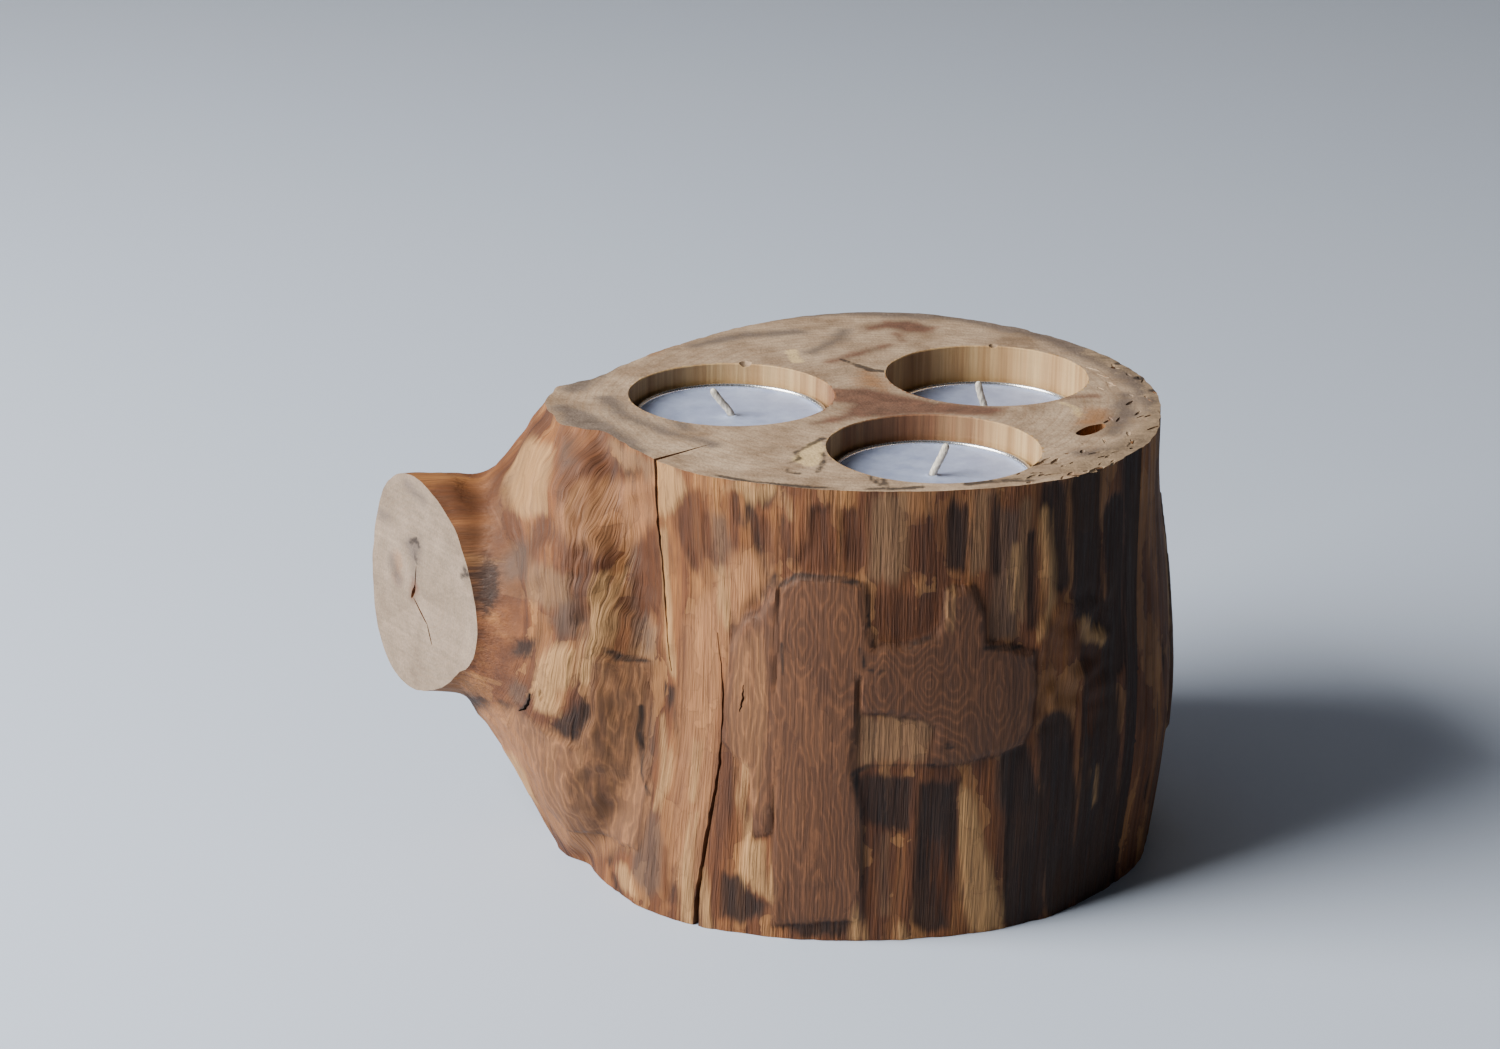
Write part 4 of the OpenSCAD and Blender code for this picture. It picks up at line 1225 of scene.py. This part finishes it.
def stampedTinplate():
    # tinned steel, stamped: grey and slightly brushed
    material, tree, shader = newMaterial("stamped_tinplate")
    coords = add(tree, "TexCoord").outputs["Object"]
    rolled = add(tree, "Mapping", {"Vector": coords, "Scale": (0.06, 1, 1)}).outputs[0]
    brush = add(tree, "TexNoise", {"Vector": rolled, "Scale": 1 / (0.2 * mm), "Detail": 2}).outputs[0]
    colour = add(tree, "Mix", {0: brush, 6: "#a5a7aa", 7: "#c6c8ca"}, data_type="RGBA").outputs[2]
    tree.links.new(colour, shader.inputs["Base Color"])
    rough = add(tree, "MapRange", {"Value": brush, "To Min": 0.3, "To Max": 0.5}).outputs[0]
    tree.links.new(rough, shader.inputs["Roughness"])
    shader.inputs["Metallic"].default_value = 1.0
    return material


def makeTealights():
    foil, paraffin, cotton, tin = pressedAluminium(), castParaffin(), waxedCotton(), stampedTinplate()
    for side, (middle, _) in wells.items():
        low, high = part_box(side + "_cup")
        radius, height = (high.x - low.x) / 2 / mm, (high.z - low.z) / mm
        parts = [
            (makeCup(side, middle, radius, height), foil, "_cup", "cup_aluminium"),
            (makeWax(side, middle, radius, height), paraffin, "_wax", "paraffin"),
            (makeWick(side, middle, height), cotton, "_wick", "wick_cotton"),
        ]
        for obj, finish, node, slot in parts:
            obj.data.materials.append(finish)
            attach(obj, side + "_tealight")
            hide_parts(side + node)
        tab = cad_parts[side + "_wick_tab"]
        tab.data.materials.clear()
        tab.data.materials.append(tin)
    print("tealights: three, each a cup, wax and a wick on its tab")


makeTealights()


studio = {
    "floor": "#b7c4d8",
    "wall": "#c2b7ad",
    "reach": 6,           # m, half the width of the floor and of the wall
    "wallAt": 2.2,        # m, how far behind the log the wall stands
    "sky": "#dfe6f0",
    "skyStrength": 0.05,
    "lens": 81.6,         # mm
    "cameraAt": (-0.024, -0.631, 0.292),
    "cameraPitch": 70.1,  # degrees up from looking straight down
    "cameraRoll": 0.6,    # degrees
    "lights": {           # place, size in m, power in W, colour; all of them look at the log
        "window": ((-1.06, -0.38, 0.74), 0.9, 66, "#fffaf2"),
        "fill": ((0.4, -1.4, 0.9), 1.2, 0.5, "#fff4ea"),
        "ceiling": ((-0.35, 0.25, 1.1), 1.0, 1.4, "#e8eefc"),
    },
    "aim": (0, 0, 0.05),
}


def plainFinish(name, hexColour):
    # matt paper, for the floor and the wall behind
    material, tree, shader = newMaterial(name)
    shader.inputs["Base Color"].default_value = linear(hexColour)
    shader.inputs["Roughness"].default_value = 0.6
    return material


def makeStudio():
    floor = bmesh.new()
    bmesh.ops.create_grid(floor, x_segments=1, y_segments=1, size=studio["reach"])
    ground = place("floor", toMesh(floor, "floor"))
    ground.data.materials.append(plainFinish("pale_floor", studio["floor"]))
    wall = bmesh.new()
    upright = Matrix.Translation((0, studio["wallAt"], 0)) @ Matrix.Rotation(math.radians(90), 4, "X")
    bmesh.ops.create_grid(wall, x_segments=1, y_segments=1, size=studio["reach"], matrix=upright)
    backdrop = place("backdrop", toMesh(wall, "backdrop"))
    backdrop.data.materials.append(plainFinish("pale_wall", studio["wall"]))


def makeLights():
    world = bpy.data.worlds.new("sky")
    scene.world = world
    world.use_nodes = True
    sky = world.node_tree.nodes["Background"]
    sky.inputs["Color"].default_value = linear(studio["sky"])
    sky.inputs["Strength"].default_value = studio["skyStrength"]
    for name, (at, size, power, hexColour) in studio["lights"].items():
        lamp = bpy.data.lights.new(name, "AREA")
        lamp.size = size
        lamp.energy = power
        lamp.color = linear(hexColour)[:3]
        obj = place(name, lamp)
        obj.location = at
        obj.rotation_euler = (Vector(studio["aim"]) - Vector(at)).to_track_quat("-Z", "Y").to_euler()


def makeCamera():
    lens = bpy.data.cameras.new("camera")
    lens.lens = studio["lens"]
    camera = place("camera", lens)
    pitch = Matrix.Rotation(math.radians(studio["cameraPitch"]), 4, "X")
    roll = Matrix.Rotation(math.radians(studio["cameraRoll"]), 4, "Z")
    camera.matrix_world = Matrix.Translation(studio["cameraAt"]) @ pitch @ roll
    scene.camera = camera
    print("stage: floor, wall, lights and camera")


makeStudio()
makeLights()
makeCamera()
